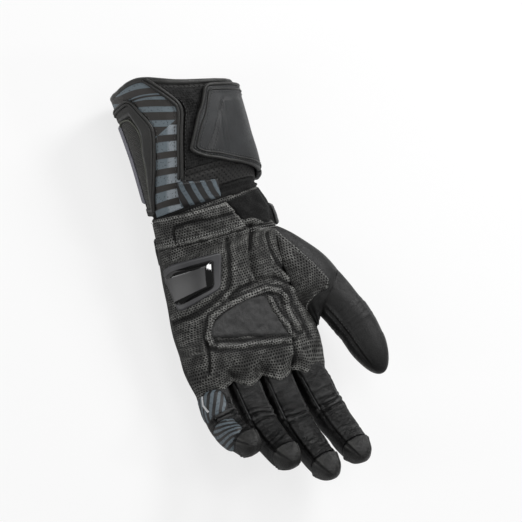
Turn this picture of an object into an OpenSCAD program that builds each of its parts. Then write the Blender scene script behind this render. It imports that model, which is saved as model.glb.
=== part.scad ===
// Left-hand gauntlet riding glove, lying on its knuckles with the palm up.
// +Z is out of the palm, -Y runs along the fingers and +X points to the thumb side.
// The origin is the centre of the flat crown of the knuckle guard, on which the glove rests.
//
// Every sewn panel is a thin curved plate between two depths of a limb's surface. The limbs
// are the arm (hand and cuff in one), the four fingers and the thumb.

/* [Hand] */
// Width of the hand across the knuckles
knuckle_w = 102; // [85:1:125]
// Depth of the hand through the middle of the palm
palm_h = 38; // [30:1:46]
// Width of the wrist
wrist_w = 80; // [66:1:96]
// Depth of the wrist
wrist_h = 50; // [40:1:60]
// Distance from the knuckles to the finger crotches
crotch_y = 26; // [21:1:32]
// Distance from the knuckles to the wrist crease
wrist_y = 103; // [86:1:124]

/* [Cuff] */
// Length of the cuff from the wrist crease to its mouth
cuff_l = 80; // [66:1:98]
// Width of the cuff at its mouth
mouth_w = 80; // [70:1:96]
// Depth of the cuff at its mouth
mouth_h = 65; // [56:1:80]
// Distance of the closing flap's edges from both ends of the cuff
flap_inset = 4; // [2:0.5:8]
// Width of the wrist strap
strap_w = 18; // [14:1:24]

/* [Fingers] */
// Length of the middle finger from its root to its tip
finger_l = 84; // [70:1:100]
// Width of the middle finger at its root
finger_w = 23; // [19:0.5:25]
// Length of the thumb from its root joint to its tip
thumb_l = 90; // [76:1:108]
// Width of the thumb below its middle joint
thumb_w = 29; // [24:0.5:33]
// Least gap between two neighbouring fingers
finger_gap = 1.6; // [1.2:0.1:3]

/* [Guards] */
// Width of the knuckle guard
guard_w = 82; // [66:1:90]
// Length of the knuckle guard along the hand
guard_l = 31; // [25:1:36]
// Thickness of a moulded slider or finger plate
guard_t = 3; // [2:0.1:4]

/* [Materials] */
// Thickness of the leather with its backing
leather_t = 2; // [1.4:0.1:2.6]
// Thickness of the lining
lining_t = 0.9; // [0.6:0.1:1.4]
// Thickness of a padded patch
foam_t = 2.6; // [1.8:0.1:3.4]
// Thickness of each half of a hook-and-loop fastener
fastener_t = 1; // [0.7:0.1:1.4]

/* [Hidden] */

gap = 0.35;          // clearance between two pieces that lie on each other
seam = 0.25;         // clearance along a seam between two panels
seam_angle = 0.5;    // the same as an angle round the arm
joint_gap = 2.2;     // half the width of the gap at a bending joint
root_gap = 2.4;      // half the width of the gap at a finger's root
knuckle_slope = 25;  // on the palm side each wall leans this far from a finger's middle joint
hand_slope = 14;     // the same at the end of the hand
root_slope = 31;     // and at the root of a finger
wrist_slope = 10;    // and on both faces of the wrist
hand_z = 24;         // height of the middle of the hand above the table
cuff_z = 36.5;       // height of the middle of the cuff's mouth
mouth_shear = -0.22; // the mouth slants, lower on the thumb side
rim_peak = 6;        // and its rim rises this far over the striped panel
rim_peak_at = 138;   // at this angle round the arm
root_shear = -0.15;  // the finger roots slant the same way
axis_x = 1;          // middle of the knuckles
round_n = 2.4;       // roundness of the arm's section: 2 is an ellipse, more is squarer
finger_n = 2.5;      // the same for a finger
sides = 16;          // corners round a finger

lining_out = -leather_t - 0.2;
lining_in = lining_out - lining_t;
cuff_top = wrist_y + cuff_l;
binding_l = 3;

black = [0.07, 0.07, 0.07];
soft_black = [0.10, 0.10, 0.10];
textured = [0.14, 0.14, 0.13];
hard_black = [0.03, 0.03, 0.035];
elastic_black = [0.05, 0.05, 0.05];
grey = [0.42, 0.47, 0.50];
pale = [0.70, 0.71, 0.72];

// ------------------------------------------------------------------ vectors and curves

function unit(v) = v / norm(v);
function lerp(a, b, t) = a + (b - a) * t;
function clamp(x, low, high) = min(max(x, low), high);
function signed_pow(x, p) = sign(x) * pow(abs(x), p);
function steps(n) = [for (k = [0:n]) k / n];

// A smooth curve through rows of numbers. The first number of each row is its place.
function interval(rows, y, i = 0) =
    i >= len(rows) - 2 || y < rows[i + 1][0] ? i : interval(rows, y, i + 1);
function row_at(rows, y) =
    let (i = interval(rows, y),
         a = rows[max(i - 1, 0)],
         b = rows[i],
         c = rows[i + 1],
         d = rows[min(i + 2, len(rows) - 1)],
         span = c[0] - b[0],
         t = clamp((y - b[0]) / span, 0, 1),
         slope_b = (c - a) / (c[0] - a[0]) * span,
         slope_c = (d - b) / (d[0] - b[0]) * span)
    (2 * t * t * t - 3 * t * t + 1) * b + (t * t * t - 2 * t * t + t) * slope_b
    + (3 * t * t - 2 * t * t * t) * c + (t * t * t - t * t) * slope_c;

// ------------------------------------------------------------------ solids from lattices

function flatten(rows) = [for (row = rows) each row];
function triangles(quads) = [for (q = quads) each [[q[0], q[1], q[2]], [q[0], q[2], q[3]]]];
function sum(list, i = 0, total = 0) = i == len(list) ? total : sum(list, i + 1, total + list[i]);
function signed_volume(points, faces) =
    sum([for (f = faces) points[f[0]] * cross(points[f[1]], points[f[2]])]);
// Faces must run clockwise seen from outside, which makes the signed volume negative.
function facing_out(points, faces) =
    [points, signed_volume(points, faces) < 0 ? faces : [for (f = faces) [f[0], f[2], f[1]]]];

// A plate between two lattices of the same size. A closed one runs all the way round, and a
// capped one is a cup whose last rows are filled in.
function plate(outer, inner, closed = false, capped = false) =
    let (r = len(outer),
         c = len(outer[0]),
         n = r * c,
         last = (r - 1) * c,
         spans = closed ? c : c - 1,
         e = c - 1)
    facing_out(
        concat(flatten(outer), flatten(inner)),
        concat(
            triangles(concat(
                [for (i = [0:r - 2], j = [0:spans - 1]) let (k = (j + 1) % c)
                    [i * c + j, i * c + k, (i + 1) * c + k, (i + 1) * c + j]],
                [for (i = [0:r - 2], j = [0:spans - 1]) let (k = (j + 1) % c)
                    [n + i * c + j, n + (i + 1) * c + j, n + (i + 1) * c + k, n + i * c + k]],
                [for (j = [0:spans - 1]) let (k = (j + 1) % c) [j, n + j, n + k, k]],
                capped ? [] : [for (j = [0:spans - 1]) let (k = (j + 1) % c)
                    [last + j, last + k, n + last + k, n + last + j]],
                closed ? [] : [for (i = [0:r - 2])
                    [i * c, (i + 1) * c, n + (i + 1) * c, n + i * c]],
                closed ? [] : [for (i = [0:r - 2])
                    [i * c + e, n + i * c + e, n + (i + 1) * c + e, (i + 1) * c + e]])),
            capped ? [for (j = [1:c - 2]) [last, last + j, last + j + 1]] : [],
            capped ? [for (j = [1:c - 2]) [n + last, n + last + j + 1, n + last + j]] : []));

// Several plates that don't touch, as one mesh.
function joined(meshes, k = 0, points = [], faces = []) =
    k == len(meshes) ? [points, faces]
    : joined(meshes, k + 1, concat(points, meshes[k][0]),
             concat(faces, [for (f = meshes[k][1]) [for (i = f) i + len(points)]]));
module solid(mesh, tint) {
    color(tint) polyhedron(points = mesh[0], faces = mesh[1], convexity = 8);
}
module solids(meshes, tint) { solid(joined(meshes), tint); }

// ------------------------------------------------------------------ the arm

// place along the arm, middle x, middle z, half width, half depth, slant of the ring
ARM = [
    [-crotch_y, axis_x, hand_z - 1, knuckle_w / 2 - 2.5, palm_h * 0.37, root_shear],
    [-crotch_y * 0.4, axis_x + 0.5, hand_z, knuckle_w / 2 - 0.4, palm_h * 0.42, -0.11],
    [0, axis_x + 1, hand_z, knuckle_w / 2, palm_h * 0.46, -0.08],
    [wrist_y * 0.27, axis_x + 1, hand_z, knuckle_w / 2 - 2, palm_h * 0.5, -0.04],
    [wrist_y * 0.56, axis_x + 2, hand_z + 1, knuckle_w / 2 - 6, palm_h * 0.53, 0],
    [wrist_y * 0.82, axis_x + 3, hand_z + 5, wrist_w / 2 + 2, wrist_h * 0.46, 0],
    [wrist_y, axis_x + 3, hand_z + 6.5, wrist_w / 2 - 1, wrist_h * 0.5, 0],
    [wrist_y + cuff_l * 0.2, axis_x + 4, cuff_z - 3.5, wrist_w / 2 - 0.5, mouth_h * 0.43, -0.04],
    [wrist_y + cuff_l * 0.5, axis_x + 4.5, cuff_z - 1.5, mouth_w / 2 - 1.5, mouth_h * 0.475, -0.11],
    [cuff_top, axis_x + 5.5, cuff_z, mouth_w / 2, mouth_h * 0.5, mouth_shear]
];
function arm(y) = row_at(ARM, y);

// The point at angle t and depth d of the ring at place y: 0 degrees is the thumb side, 90 the
// palm and 180 the little finger's side. The leans slant a ring on its palm side and its back.
function arm_point(y, t, d, palm_lean = 0, back_lean = 0) =
    let (s = arm(y),
         x = (s[3] + d) * signed_pow(cos(t), 2 / round_n),
         z = (s[4] + d) * signed_pow(sin(t), 2 / round_n),
         lean = max(z, 0) * palm_lean + max(-z, 0) * back_lean)
    [s[1] + x, y + s[5] * x + lean + rim_rise(y, t), s[2] + z];
function rim_rise(y, t) =
    rim_peak * pow(clamp((y - wrist_y) / cuff_l, 0, 1), 4) * pow(max(0, cos(t - rim_peak_at)), 6);
// The angle at which the palm side of the ring at place y (its back, for side -1) lies at x.
function arm_angle(y, x, side = 1) =
    let (s = arm(y), c = clamp((x - s[1]) / s[3], -1, 1))
    side * acos(signed_pow(c, round_n / 2));
// The place and the angle of a point that is given as [x, y] seen from above.
function plan_place(p, side) =
    let (s = arm(p[1]), y = p[1] - s[5] * (p[0] - s[1])) [y, arm_angle(y, p[0], side)];

// A plate on the arm. Each row is [place, first angle, last angle, palm lean, back lean].
function arm_plate(rows, cols, low, high) =
    plate([for (r = rows) [for (u = steps(cols)) arm_point(r[0], lerp(r[1], r[2], u), high, r[3], r[4])]],
          [for (r = rows) [for (u = steps(cols)) arm_point(r[0], lerp(r[1], r[2], u), low, r[3], r[4])]]);

// A lattice on the arm seen from above. Each row runs from one [x, y] to another, and inset
// moves the outline in. A crown lifts the middle.
function plan_lattice(rows, cols, d, side = 1, inset = 0, crown = 0) =
    let (last = len(rows) - 1)
    [for (i = [0:last]) [for (j = [0:cols])
        let (along = unit(rows[i][1] - rows[i][0]),
             across = unit(rows[min(i + 1, last)][0] - rows[max(i - 1, 0)][0]),
             nudge = i == 0 ? inset : i == last ? -inset : 0,
             a = plan_place(rows[i][0] + along * inset + across * nudge, side),
             b = plan_place(rows[i][1] - along * inset + across * nudge, side),
             p = lerp(a, b, j / cols),
             rise = crown * min(1, 3 * min(j, cols - j) / cols) * min(1, 3 * min(i, last - i) / last))
        arm_point(p[0], p[1], d + rise)]];
function pad(rows, cols, low, high, side = 1, bevel = 0.6, crown = 0) =
    plate(plan_lattice(rows, cols, high, side, bevel, crown), plan_lattice(rows, cols, low, side));
// Rows with straight sides between a first and a last one.
function between(first, last, n) =
    [for (u = steps(n)) [lerp(first[0], last[0], u), lerp(first[1], last[1], u)]];

// ------------------------------------------------------------------ palm and back

hand_first = -crotch_y + root_gap;
hand_last = wrist_y - joint_gap;
// The thumb comes out of the hand through an oval hole.
hole_y = 38;
hole_l = 34;
hole_angle = 38;
hand_ys = concat([hand_first, -12], [for (k = [0:8]) hole_y - hole_l * cos(22.5 * k)],
                 [for (u = [1:4]) lerp(hole_y + hole_l, hand_last, u / 4)]);
function hole_edge(y) =
    max(seam_angle, hole_angle * sqrt(max(0, 1 - pow((y - hole_y) / hole_l, 2))));
function palm_lean(y) = y == hand_first ? tan(hand_slope) : y == hand_last ? -tan(wrist_slope) : 0;
function back_lean(y) = y == hand_last ? -tan(wrist_slope) : 0;

// Three plates side by side on the palm (side 1) or on the back (side -1).
palm_seams = [72, 116];
function hand_plates(side, low, high) =
    let (cuts = [0, palm_seams[0], palm_seams[1], 180])
    [for (k = [0:2]) arm_plate(
        [for (y = hand_ys)
            [y, side * (k == 0 ? hole_edge(y) : cuts[k] + seam_angle / 2),
             side * (cuts[k + 1] - seam_angle / 2), palm_lean(y), back_lean(y)]],
        7, low, high)];
module palm_panel() { solids(hand_plates(1, -leather_t, 0), textured); }
module back_panel() { solids(hand_plates(-1, -leather_t, 0), black); }
module hand_lining() {
    solids(concat(hand_plates(1, lining_in, lining_out), hand_plates(-1, lining_in, lining_out)), black);
}

// A raised band of textured leather across the heel of the palm.
heel_rows = between([[-35, wrist_y - 22.5], [19, wrist_y - 28]], [[-33.5, wrist_y - 8], [14, wrist_y - 9]], 4);
module heel_patch() { solid(pad(heel_rows, 10, gap, gap + foam_t), textured); }

// The slider on the heel of the palm: a flange sewn to the leather, and a domed shell on it.
slider_rows = between([[-43, 38], [-12, 44]], [[-41, 71], [-4, 67]], 6);
dome_rows = between([[-42.4, 41.4], [-16.6, 46]], [[-40.9, 67.2], [-9.8, 63.6]], 6);
slider_dome = 2.2;
flange_t = 1.2;
module slider_flange() { solid(pad(slider_rows, 10, gap, gap + flange_t, bevel = 0.3), soft_black); }
module palm_slider() {
    low = gap + flange_t + gap;
    solid(plate(plan_lattice(dome_rows, 10, low + guard_t, 1, 1.8, slider_dome),
                plan_lattice(dome_rows, 10, low, 1, 0.3)), hard_black);
}

// The smooth patch in the hollow of the palm, and the pad over the ball of the thumb.
patch_rows = [[[-34, 13], [30, -5]], [[-30, 18], [26, 1]], [[-20, 23], [21, 10]],
              [[-8, 27], [17, 18]], [[4, 30], [12, 27]]];
patch_t = 1.2;
module palm_patch() { solid(pad(patch_rows, 10, gap, gap + patch_t), soft_black); }
thenar_rows = [[[16, 35], [27, 33]], [[12, 42], [32, 41]], [[11, 50], [33, 50]],
               [[12, 57], [32, 58]], [[15, 63], [29, 65]]];
module thenar_pad() { solid(pad(thenar_rows, 6, gap, gap + foam_t), textured); }

// Long foam pads along the bones of the back of the hand.
back_pad_xs = [-33, -15, 3, 21];
back_pad_w = 13;
module back_pads() {
    solids([for (x = back_pad_xs)
        pad(between([[x, guard_l / 2 + 6], [x + back_pad_w, guard_l / 2 + 6]],
                    [[x * 0.8, 62], [x * 0.8 + back_pad_w * 0.8, 62]], 4),
            4, gap, gap + foam_t, -1)], soft_black);
}

// A hard plate under the glove, with a flat crown at table height to rest on.
function resting_plate(rows, cols, low, centre, crown, slopes) =
    let (inner = plan_lattice(rows, cols, low, -1, 0.8))
    plate([for (row = inner) [for (p = row)
        let (over_x = max(abs(p[0] - centre[0]) - crown[0] / 2, 0),
             over_y = max(abs(p[1] - centre[1]) - crown[1] / 2, 0))
        [p[0], p[1], min(over_x * slopes[0] + over_y * slopes[1], p[2] - 1.2)]]], inner);
guard_rows = between([[axis_x - guard_w / 2, -guard_l / 2], [axis_x + guard_w / 2, -guard_l / 2]],
                     [[axis_x - guard_w / 2 + 2, guard_l / 2], [axis_x + guard_w / 2 - 2, guard_l / 2]], 6);
module knuckle_foam() {
    solid(pad(guard_rows, 12, gap, gap + fastener_t, -1, bevel = 0.3), soft_black);
}
module knuckle_guard() {
    solid(resting_plate(guard_rows, 14, gap * 2 + fastener_t, [0, 0], [guard_w * 0.62, guard_l * 0.6], [0.3, 0.35]),
          hard_black);
}

// ------------------------------------------------------------------ wrist

strap_first = wrist_y - 11 - strap_w;
strap_last = wrist_y - 11;
strap_root = 22;
strap_end = -140;
layer = gap + fastener_t;
strap_low = 2 * layer + gap;
function strap_plate(inset, a, b, cols, low, high) =
    arm_plate([for (u = steps(3)) [lerp(strap_first + inset, strap_last - inset, u), a, b, 0, 0]],
              cols, low, high);
module wrist_strap() {
    solid(strap_plate(0, strap_root, strap_end, 22, strap_low, strap_low + leather_t), soft_black);
}
module strap_hook() { solid(strap_plate(2, -104, -137, 6, layer + gap, 2 * layer), elastic_black); }
module strap_loop() { solid(strap_plate(0, -84, -150, 10, gap, layer), elastic_black); }

// The elastic leather of the wrist, folded between the hand and the cuff.
cuff_first = wrist_y + joint_gap;
cuff_last = cuff_top - binding_l - seam;
function ring_row(y, d, lean, n) = [for (j = [0:n - 1]) arm_point(y, j * 360 / n, d, lean, lean)];
wrist_sides = 40;
module wrist_elastic() {
    rows = [for (k = [0:6])
        [lerp(hand_last + gap, cuff_first - gap, k / 6), lerp(-1, 1, k / 6) * tan(wrist_slope), k % 2 * -0.8]];
    solid(plate([for (r = rows) ring_row(r[0], r[2], r[1], wrist_sides)],
                [for (r = rows) ring_row(r[0], r[2] - leather_t, r[1], wrist_sides)], closed = true),
          elastic_black);
}

// ------------------------------------------------------------------ cuff

function cuff_y(f) = lerp(cuff_first, cuff_last, f);
// The edges of the panels as angles at equal steps from the wrist to the mouth.
stripe_right = [127.5, 125, 122, 118.5, 115, 110, 105, 109.5, 126];
stripe_left = [174, 169, 161, 153, 147, 141.5, 146, 155, 170];
side_back = [222, 222];
flap_side = [-30, -30];
function shifted(edge, by) = [for (angle = edge) angle + by];
function edge_at(edge, f) =
    let (spot = clamp(f, 0, 1) * (len(edge) - 1), k = min(floor(spot), len(edge) - 2))
    lerp(edge[k], edge[k + 1], spot - k);
function cuff_plate(from, to, cols, low, high, f0 = 0, f1 = 1) =
    arm_plate([for (u = steps(8)) let (f = lerp(f0, f1, u), lean = f == 0 ? tan(wrist_slope) : 0)
        [cuff_y(f), edge_at(from, f), edge_at(to, f), lean, lean]], cols, low, high);
module cuff_palm() {
    solids([cuff_plate(shifted(flap_side, seam_angle), [40, 40], 8, -leather_t, 0),
            cuff_plate([40 + seam_angle, 40 + seam_angle], shifted(stripe_right, -seam_angle), 8, -leather_t, 0)],
           black);
}
module cuff_stripes() { solid(cuff_plate(stripe_right, stripe_left, 7, -leather_t, 0), grey); }
module cuff_side() {
    solid(cuff_plate(shifted(stripe_left, seam_angle), shifted(side_back, -seam_angle), 6, -leather_t, 0), black);
}
module cuff_back() {
    solids([cuff_plate(side_back, [276, 276], 7, -leather_t, 0),
            cuff_plate([276 + seam_angle, 276 + seam_angle], shifted(flap_side, 360), 7, -leather_t, 0)], black);
}
module cuff_lining() {
    solids([for (k = [0:2])
        cuff_plate([k * 120 + seam_angle, k * 120 + seam_angle], [(k + 1) * 120, (k + 1) * 120], 10,
                   lining_in - 1.5 * gap, lining_out - 1.5 * gap)], black);
}
module cuff_binding() {
    solid(plate([for (y = [cuff_last + seam, cuff_top]) ring_row(y, 0.8, 0, wrist_sides)],
                [for (y = [cuff_last + seam, cuff_top]) ring_row(y, lining_in, 0, wrist_sides)], closed = true),
          soft_black);
}
// Piping along both edges of the striped panel.
piping_angle = 1.3;
module cuff_piping() {
    solids([for (edge = [stripe_right, stripe_left])
        cuff_plate(shifted(edge, -piping_angle), shifted(edge, piping_angle), 1, gap, gap + 1.3, 0.04, 0.98)],
           soft_black);
}
// The raised frame round the mesh on the little finger's side, and the slider beside it.
frame_w = 4;
frame_f = [0.06, 0.9];
frame_back = 196;
function frame_loop(inset, d) =
    let (df = inset / cuff_l, da = inset * 1.5, f0 = frame_f[0] + df, f1 = frame_f[1] - df)
    [for (p = concat([for (u = steps(9)) [lerp(f0, f1, u), 0]], [for (u = [0.25:0.25:0.75]) [f1, u]],
                     [for (u = steps(9)) [lerp(f1, f0, u), 1]], [for (u = [0.75:-0.25:0.25]) [f0, u]]))
        let (near_edge = edge_at(stripe_left, p[0]) + 5 + da)
        arm_point(cuff_y(p[0]), lerp(near_edge, frame_back - da, p[1]), d)];
module cuff_frame() {
    solid(plate([frame_loop(0, gap + 1.6), frame_loop(frame_w, gap + 1.6)],
                [frame_loop(0, gap), frame_loop(frame_w, gap)], closed = true), soft_black);
}
module cuff_slider() {
    solid(cuff_plate([199, 199], [209, 209], 3, gap, gap + guard_t * 0.75, 0.1, 0.8), pale);
}
// Padded ribs across the back of the cuff, flat at table height.
rib_l = 12;
rib_ys = [wrist_y + 18, wrist_y + 33, wrist_y + 48];
rib_w = 46;
module cuff_pads() {
    solids([for (y = rib_ys)
        resting_plate(between([[4 - rib_w / 2, y], [4 + rib_w / 2, y]],
                              [[4 - rib_w / 2, y + rib_l], [4 + rib_w / 2, y + rib_l]], 4),
                      8, gap, [4, y + rib_l / 2], [rib_w * 0.6, rib_l * 0.6], [0.12, 0.5])], soft_black);
}
// The loop field of the cuff, and the closing flap that wraps round the thumb side onto it.
module cuff_loop() { solid(cuff_plate([22, 22], shifted(stripe_right, -5), 9, gap, layer, 0.33, 0.96), elastic_black); }
flap_root = -50;
flap_tip = [107, 82];
flap_low = 2 * layer + gap;
flap_high = flap_low + leather_t;
// A place on the flap: u runs from its root to its free edge, and v from the wrist to the mouth.
function flap_point(u, v, d) =
    let (t = lerp(flap_root, lerp(flap_tip[0], flap_tip[1], v), u),
         start = lerp(cuff_first + flap_inset, cuff_y(0.47), pow(clamp(t / flap_tip[0], 0, 1), 1.8)))
    arm_point(lerp(start, cuff_last + 1 - flap_inset, v), t, d);
module cuff_flap() {
    solid(plate([for (v = steps(8)) [for (u = steps(20)) flap_point(u, v, flap_high)]],
                [for (v = steps(8)) [for (u = steps(20)) flap_point(u, v, flap_low)]]), soft_black);
}
module flap_hook() {
    solid(plate([for (v = steps(4)) [for (u = steps(4)) flap_point(lerp(0.66, 0.95, u), lerp(0.12, 0.9, v), 2 * layer)]],
                [for (v = steps(4)) [for (u = steps(4)) flap_point(lerp(0.66, 0.95, u), lerp(0.12, 0.9, v), layer + gap)]]),
          elastic_black);
}
// A flat binding sewn along the three free edges of the flap.
binding_u = 0.035;
binding_v = 0.06;
flap_path = concat([for (u = steps(16)) [u, 0]], [for (v = steps(6)) if (v > 0) [1, v]],
                   [for (u = steps(16)) if (u > 0) [1 - u, 1]]);
function path_row(p, d) =
    [flap_point(p[0], p[1], d),
     flap_point(min(p[0], 1 - binding_u), clamp(p[1], binding_v, 1 - binding_v), d)];
module flap_binding() {
    solid(plate([for (p = flap_path) path_row(p, flap_high + gap + 0.9)],
                [for (p = flap_path) path_row(p, flap_high + gap)]), soft_black);
}

// ------------------------------------------------------------------ fingers

// A ring of a limb is [centre, side axis, palm axis, direction, half width, half depth, lean
// towards the tip per millimetre of the palm side, lean per millimetre of the side axis].
function limb_point(ring, t, d) =
    let (x = (ring[4] + d) * signed_pow(cos(t), 2 / finger_n),
         z = (ring[5] + d) * signed_pow(sin(t), 2 / finger_n))
    ring[0] + ring[1] * x + ring[2] * z + ring[3] * (ring[6] * max(z, 0) + ring[7] * x);
function limb_plate(rings, from, to, cols, low, high, low_spread = 0) =
    plate([for (ring = rings) [for (u = steps(cols)) limb_point(ring, lerp(from, to, u), high)]],
          [for (ring = rings) [for (u = steps(cols))
              limb_point(ring, lerp(from - low_spread, to + low_spread, u), low)]]);
function limb_loop(ring, d) = [for (j = [0:sides - 1]) limb_point(ring, j * 360 / sides, d)];
function limb_tube(rings, low, high) =
    plate([for (ring = rings) limb_loop(ring, high)], [for (ring = rings) limb_loop(ring, low)], closed = true);
// The front, the back and the two side walls of a finger, with seams between them.
function sewn_tube(rings) =
    [for (k = [0:3]) limb_plate(rings, 45 + 90 * k + 0.8, 135 + 90 * k - 0.8, 4, -leather_t, 0)];
function moved(ring, by) =
    [ring[0] + ring[3] * by, ring[1], ring[2], ring[3], ring[4], ring[5], ring[6], ring[7]];
function blended(a, b, u, grow = 0) =
    [lerp(a[0], b[0], u), unit(lerp(a[1], b[1], u)), unit(lerp(a[2], b[2], u)), unit(lerp(a[3], b[3], u)),
     lerp(a[4], b[4], u) + grow, lerp(a[5], b[5], u) + grow, lerp(a[6], b[6], u), lerp(a[7], b[7], u)];

// A digit is [root point, directions of its three bones, their lengths, half widths at the
// root, the middle joint, the end joint and the tip, rough palm direction].
function bone_dir(yaw, pitch) = [sin(yaw) * cos(pitch), -cos(yaw) * cos(pitch), sin(pitch)];
function finger(x, yaws, pitches, l, w) =
    [[x, -crotch_y + root_shear * (x - axis_x), arm(-crotch_y)[2]],
     [for (k = [0:2]) bone_dir(yaws[k], pitches[k])],
     [0.385 * l, 0.3 * l, 0.315 * l], [w * 0.5, w * 0.485, w * 0.45, w * 0.41], [0, 0, 1]];
function joints(digit) =
    let (p = digit[0], d = digit[1], l = digit[2])
    [p, p + d[0] * l[0], p + d[0] * l[0] + d[1] * l[1], p + d[0] * l[0] + d[1] * l[1] + d[2] * l[2]];
// Direction, palm axis and side axis for a line through a digit.
function axes(d, hint) = let (palm = unit(hint - d * (hint * d))) [d, palm, cross(palm, d)];
function ring(c, f, a, b, lean = 0, slant = 0) = [c, f[2], f[1], f[0], a, b, lean, slant];

index_w = finger_w;
ring_w = finger_w * 0.96;
little_w = finger_w * 0.9;
all_w = index_w + finger_w + ring_w + little_w;
spread = max(finger_gap, (knuckle_w - 8.42 - all_w) / 3);
index_x = axis_x + (all_w + 3 * spread - index_w) / 2;
middle_x = index_x - index_w / 2 - spread - finger_w / 2;
ring_x = middle_x - finger_w / 2 - spread - ring_w / 2;
little_x = ring_x - ring_w / 2 - spread - little_w / 2;

INDEX = finger(index_x, [5, 3, -1], [9, 31, 44], finger_l * 0.92, index_w);
MIDDLE = finger(middle_x, [0, 2, 3], [9, 30, 42], finger_l, finger_w);
RING = finger(ring_x, [-1, 1, 2], [11, 38, 54], finger_l * 0.88, ring_w);
LITTLE = finger(little_x, [-7, 8, 10], [15, 48, 66], finger_l * 0.73, little_w);
THUMB = [[knuckle_w / 2 + 9, 40, hand_z + 2],
         [unit([0.343, -0.929, 0.141]), unit([0.15, -0.973, 0.175]), unit([0.06, -0.98, 0.2])],
         [0.55 * thumb_l, 0.2 * thumb_l, 0.28 * thumb_l],
         [thumb_w * 0.52, thumb_w * 0.5, thumb_w * 0.46, thumb_w * 0.36], unit([-0.3, 0, 0.95])];

depth = 0.98;        // a finger is this deep for each millimetre of width
function bend_axes(digit) = axes(unit(digit[1][0] + digit[1][1]), digit[4]);
function base_rings(digit) =
    let (p = joints(digit), w = digit[3], f = axes(digit[1][0], digit[4]), g = bend_axes(digit),
         half = (w[0] + w[1]) / 2)
    [ring(p[0] + f[0] * root_gap, f, w[0], w[0] * depth, tan(root_slope)),
     ring(lerp(p[0], p[1], 0.45), f, half, half * depth, 0.2),
     ring(lerp(p[0], p[1], 0.7), f, half, half * depth, -0.1),
     ring(p[1] - g[0] * joint_gap, g, w[1], w[1] * depth, -tan(knuckle_slope))];
function tip_rings(digit) =
    let (p = joints(digit), w = digit[3], f = axes(digit[1][1], digit[4]),
         g = bend_axes(digit), h = axes(unit(digit[1][1] + digit[1][2]), digit[4]),
         e = axes(digit[1][2], digit[4]), half = (w[1] + w[2]) / 2, end = (w[2] + w[3]) / 2)
    [ring(p[1] + g[0] * joint_gap, g, w[1], w[1] * depth, tan(knuckle_slope)),
     ring(lerp(p[1], p[2], 0.6), f, half, half * depth, 0.1),
     ring(p[2], h, w[2], w[2] * depth),
     ring(lerp(p[2], p[3], 0.4), e, end, end * 0.94)];
// The fingertip is a dome of rings that close in over a quarter turn.
function cap_rings(digit) =
    let (p = joints(digit), w = digit[3], e = axes(digit[1][2], digit[4]), end = (w[2] + w[3]) / 2,
         start = lerp(p[2], p[3], 0.4) + e[0] * seam, reach = norm(p[3] - start))
    [for (a = [0, 22, 42, 60, 75]) let (size = end * pow(cos(a), 0.72))
        ring(start + e[0] * reach * sin(a), e, size, size * lerp(0.94, 0.86, a / 75))];

module digit_base(digit) { solids(sewn_tube(base_rings(digit)), black); }
module digit_tip(digit) { solids(sewn_tube(tip_rings(digit)), black); }
module digit_cap(digit) {
    rings = cap_rings(digit);
    last = len(rings) - 1;
    solid(plate([for (r = rings) limb_loop(r, 0)],
                [for (k = [0:last]) limb_loop(moved(rings[k], -leather_t * k / last), -min(leather_t, rings[k][4] * 0.5))],
                closed = true, capped = true), soft_black);
}
// Folded leather between two walls, a clearance short of both.
function fold_rings(first, last, n = 6) =
    [for (k = [0:n]) blended(moved(first, 2 * gap), moved(last, -2 * gap), k / n, k % 2 * -0.8)];
module digit_stretch(digit) {
    base = base_rings(digit);
    solid(limb_tube(fold_rings(base[len(base) - 1], tip_rings(digit)[0]), -leather_t, 0), elastic_black);
}
// The root of a finger: its first loop is a quarter of the open end of the hand.
function root_loop(digit, d) =
    let (s = arm(-crotch_y), half = digit[3][0] + spread / 2 - 0.3)
    [for (j = [0:sides - 1])
        let (t = j * 360 / sides,
             x = digit[0][0] + (half + d) * signed_pow(cos(t), 0.4),
             inner = clamp(abs(x - s[1]) / (s[3] + d), 0, 0.99),
             z = (s[4] + d) * pow(1 - pow(inner, round_n), 1 / round_n) * signed_pow(sin(t), 0.4))
        [x, hand_first - gap + s[5] * (x - s[1]) + max(z, 0) * tan(hand_slope), s[2] + z]];
function lofted(a, b, u) = [for (j = [0:len(a) - 1]) lerp(a[j], b[j], u)];
module digit_root(digit) {
    last = moved(base_rings(digit)[0], -gap);
    solid(plate([for (u = steps(4)) lofted(root_loop(digit, 0), limb_loop(last, 0), u)],
                [for (u = steps(4)) lofted(root_loop(digit, -leather_t), limb_loop(last, -leather_t), u)],
                closed = true), elastic_black);
}
// A hard plate on the back of the first bone.
module digit_plate(digit) {
    rings = base_rings(digit);
    first = blended(rings[1], rings[2], -0.5);
    last = moved(rings[3], -3);
    level = [for (u = steps(4)) let (r = blended(first, last, u)) [r[0], r[1], r[2], r[3], r[4], r[5], 0, 0]];
    solid(limb_plate(level, 245, 295, 5, gap, gap + guard_t * 0.8, 5), hard_black);
}
// The striped pad on the outer side of the little finger.
module little_pad() {
    rings = base_rings(LITTLE);
    level = [for (u = steps(3)) let (r = blended(rings[1], rings[2], lerp(-0.6, 1.3, u)))
        [r[0], r[1], r[2], r[3], r[4], r[5], 0, 0]];
    solid(limb_plate(level, 132, 212, 7, gap, gap + 1.4, 3), grey);
}

// ------------------------------------------------------------------ thumb

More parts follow.
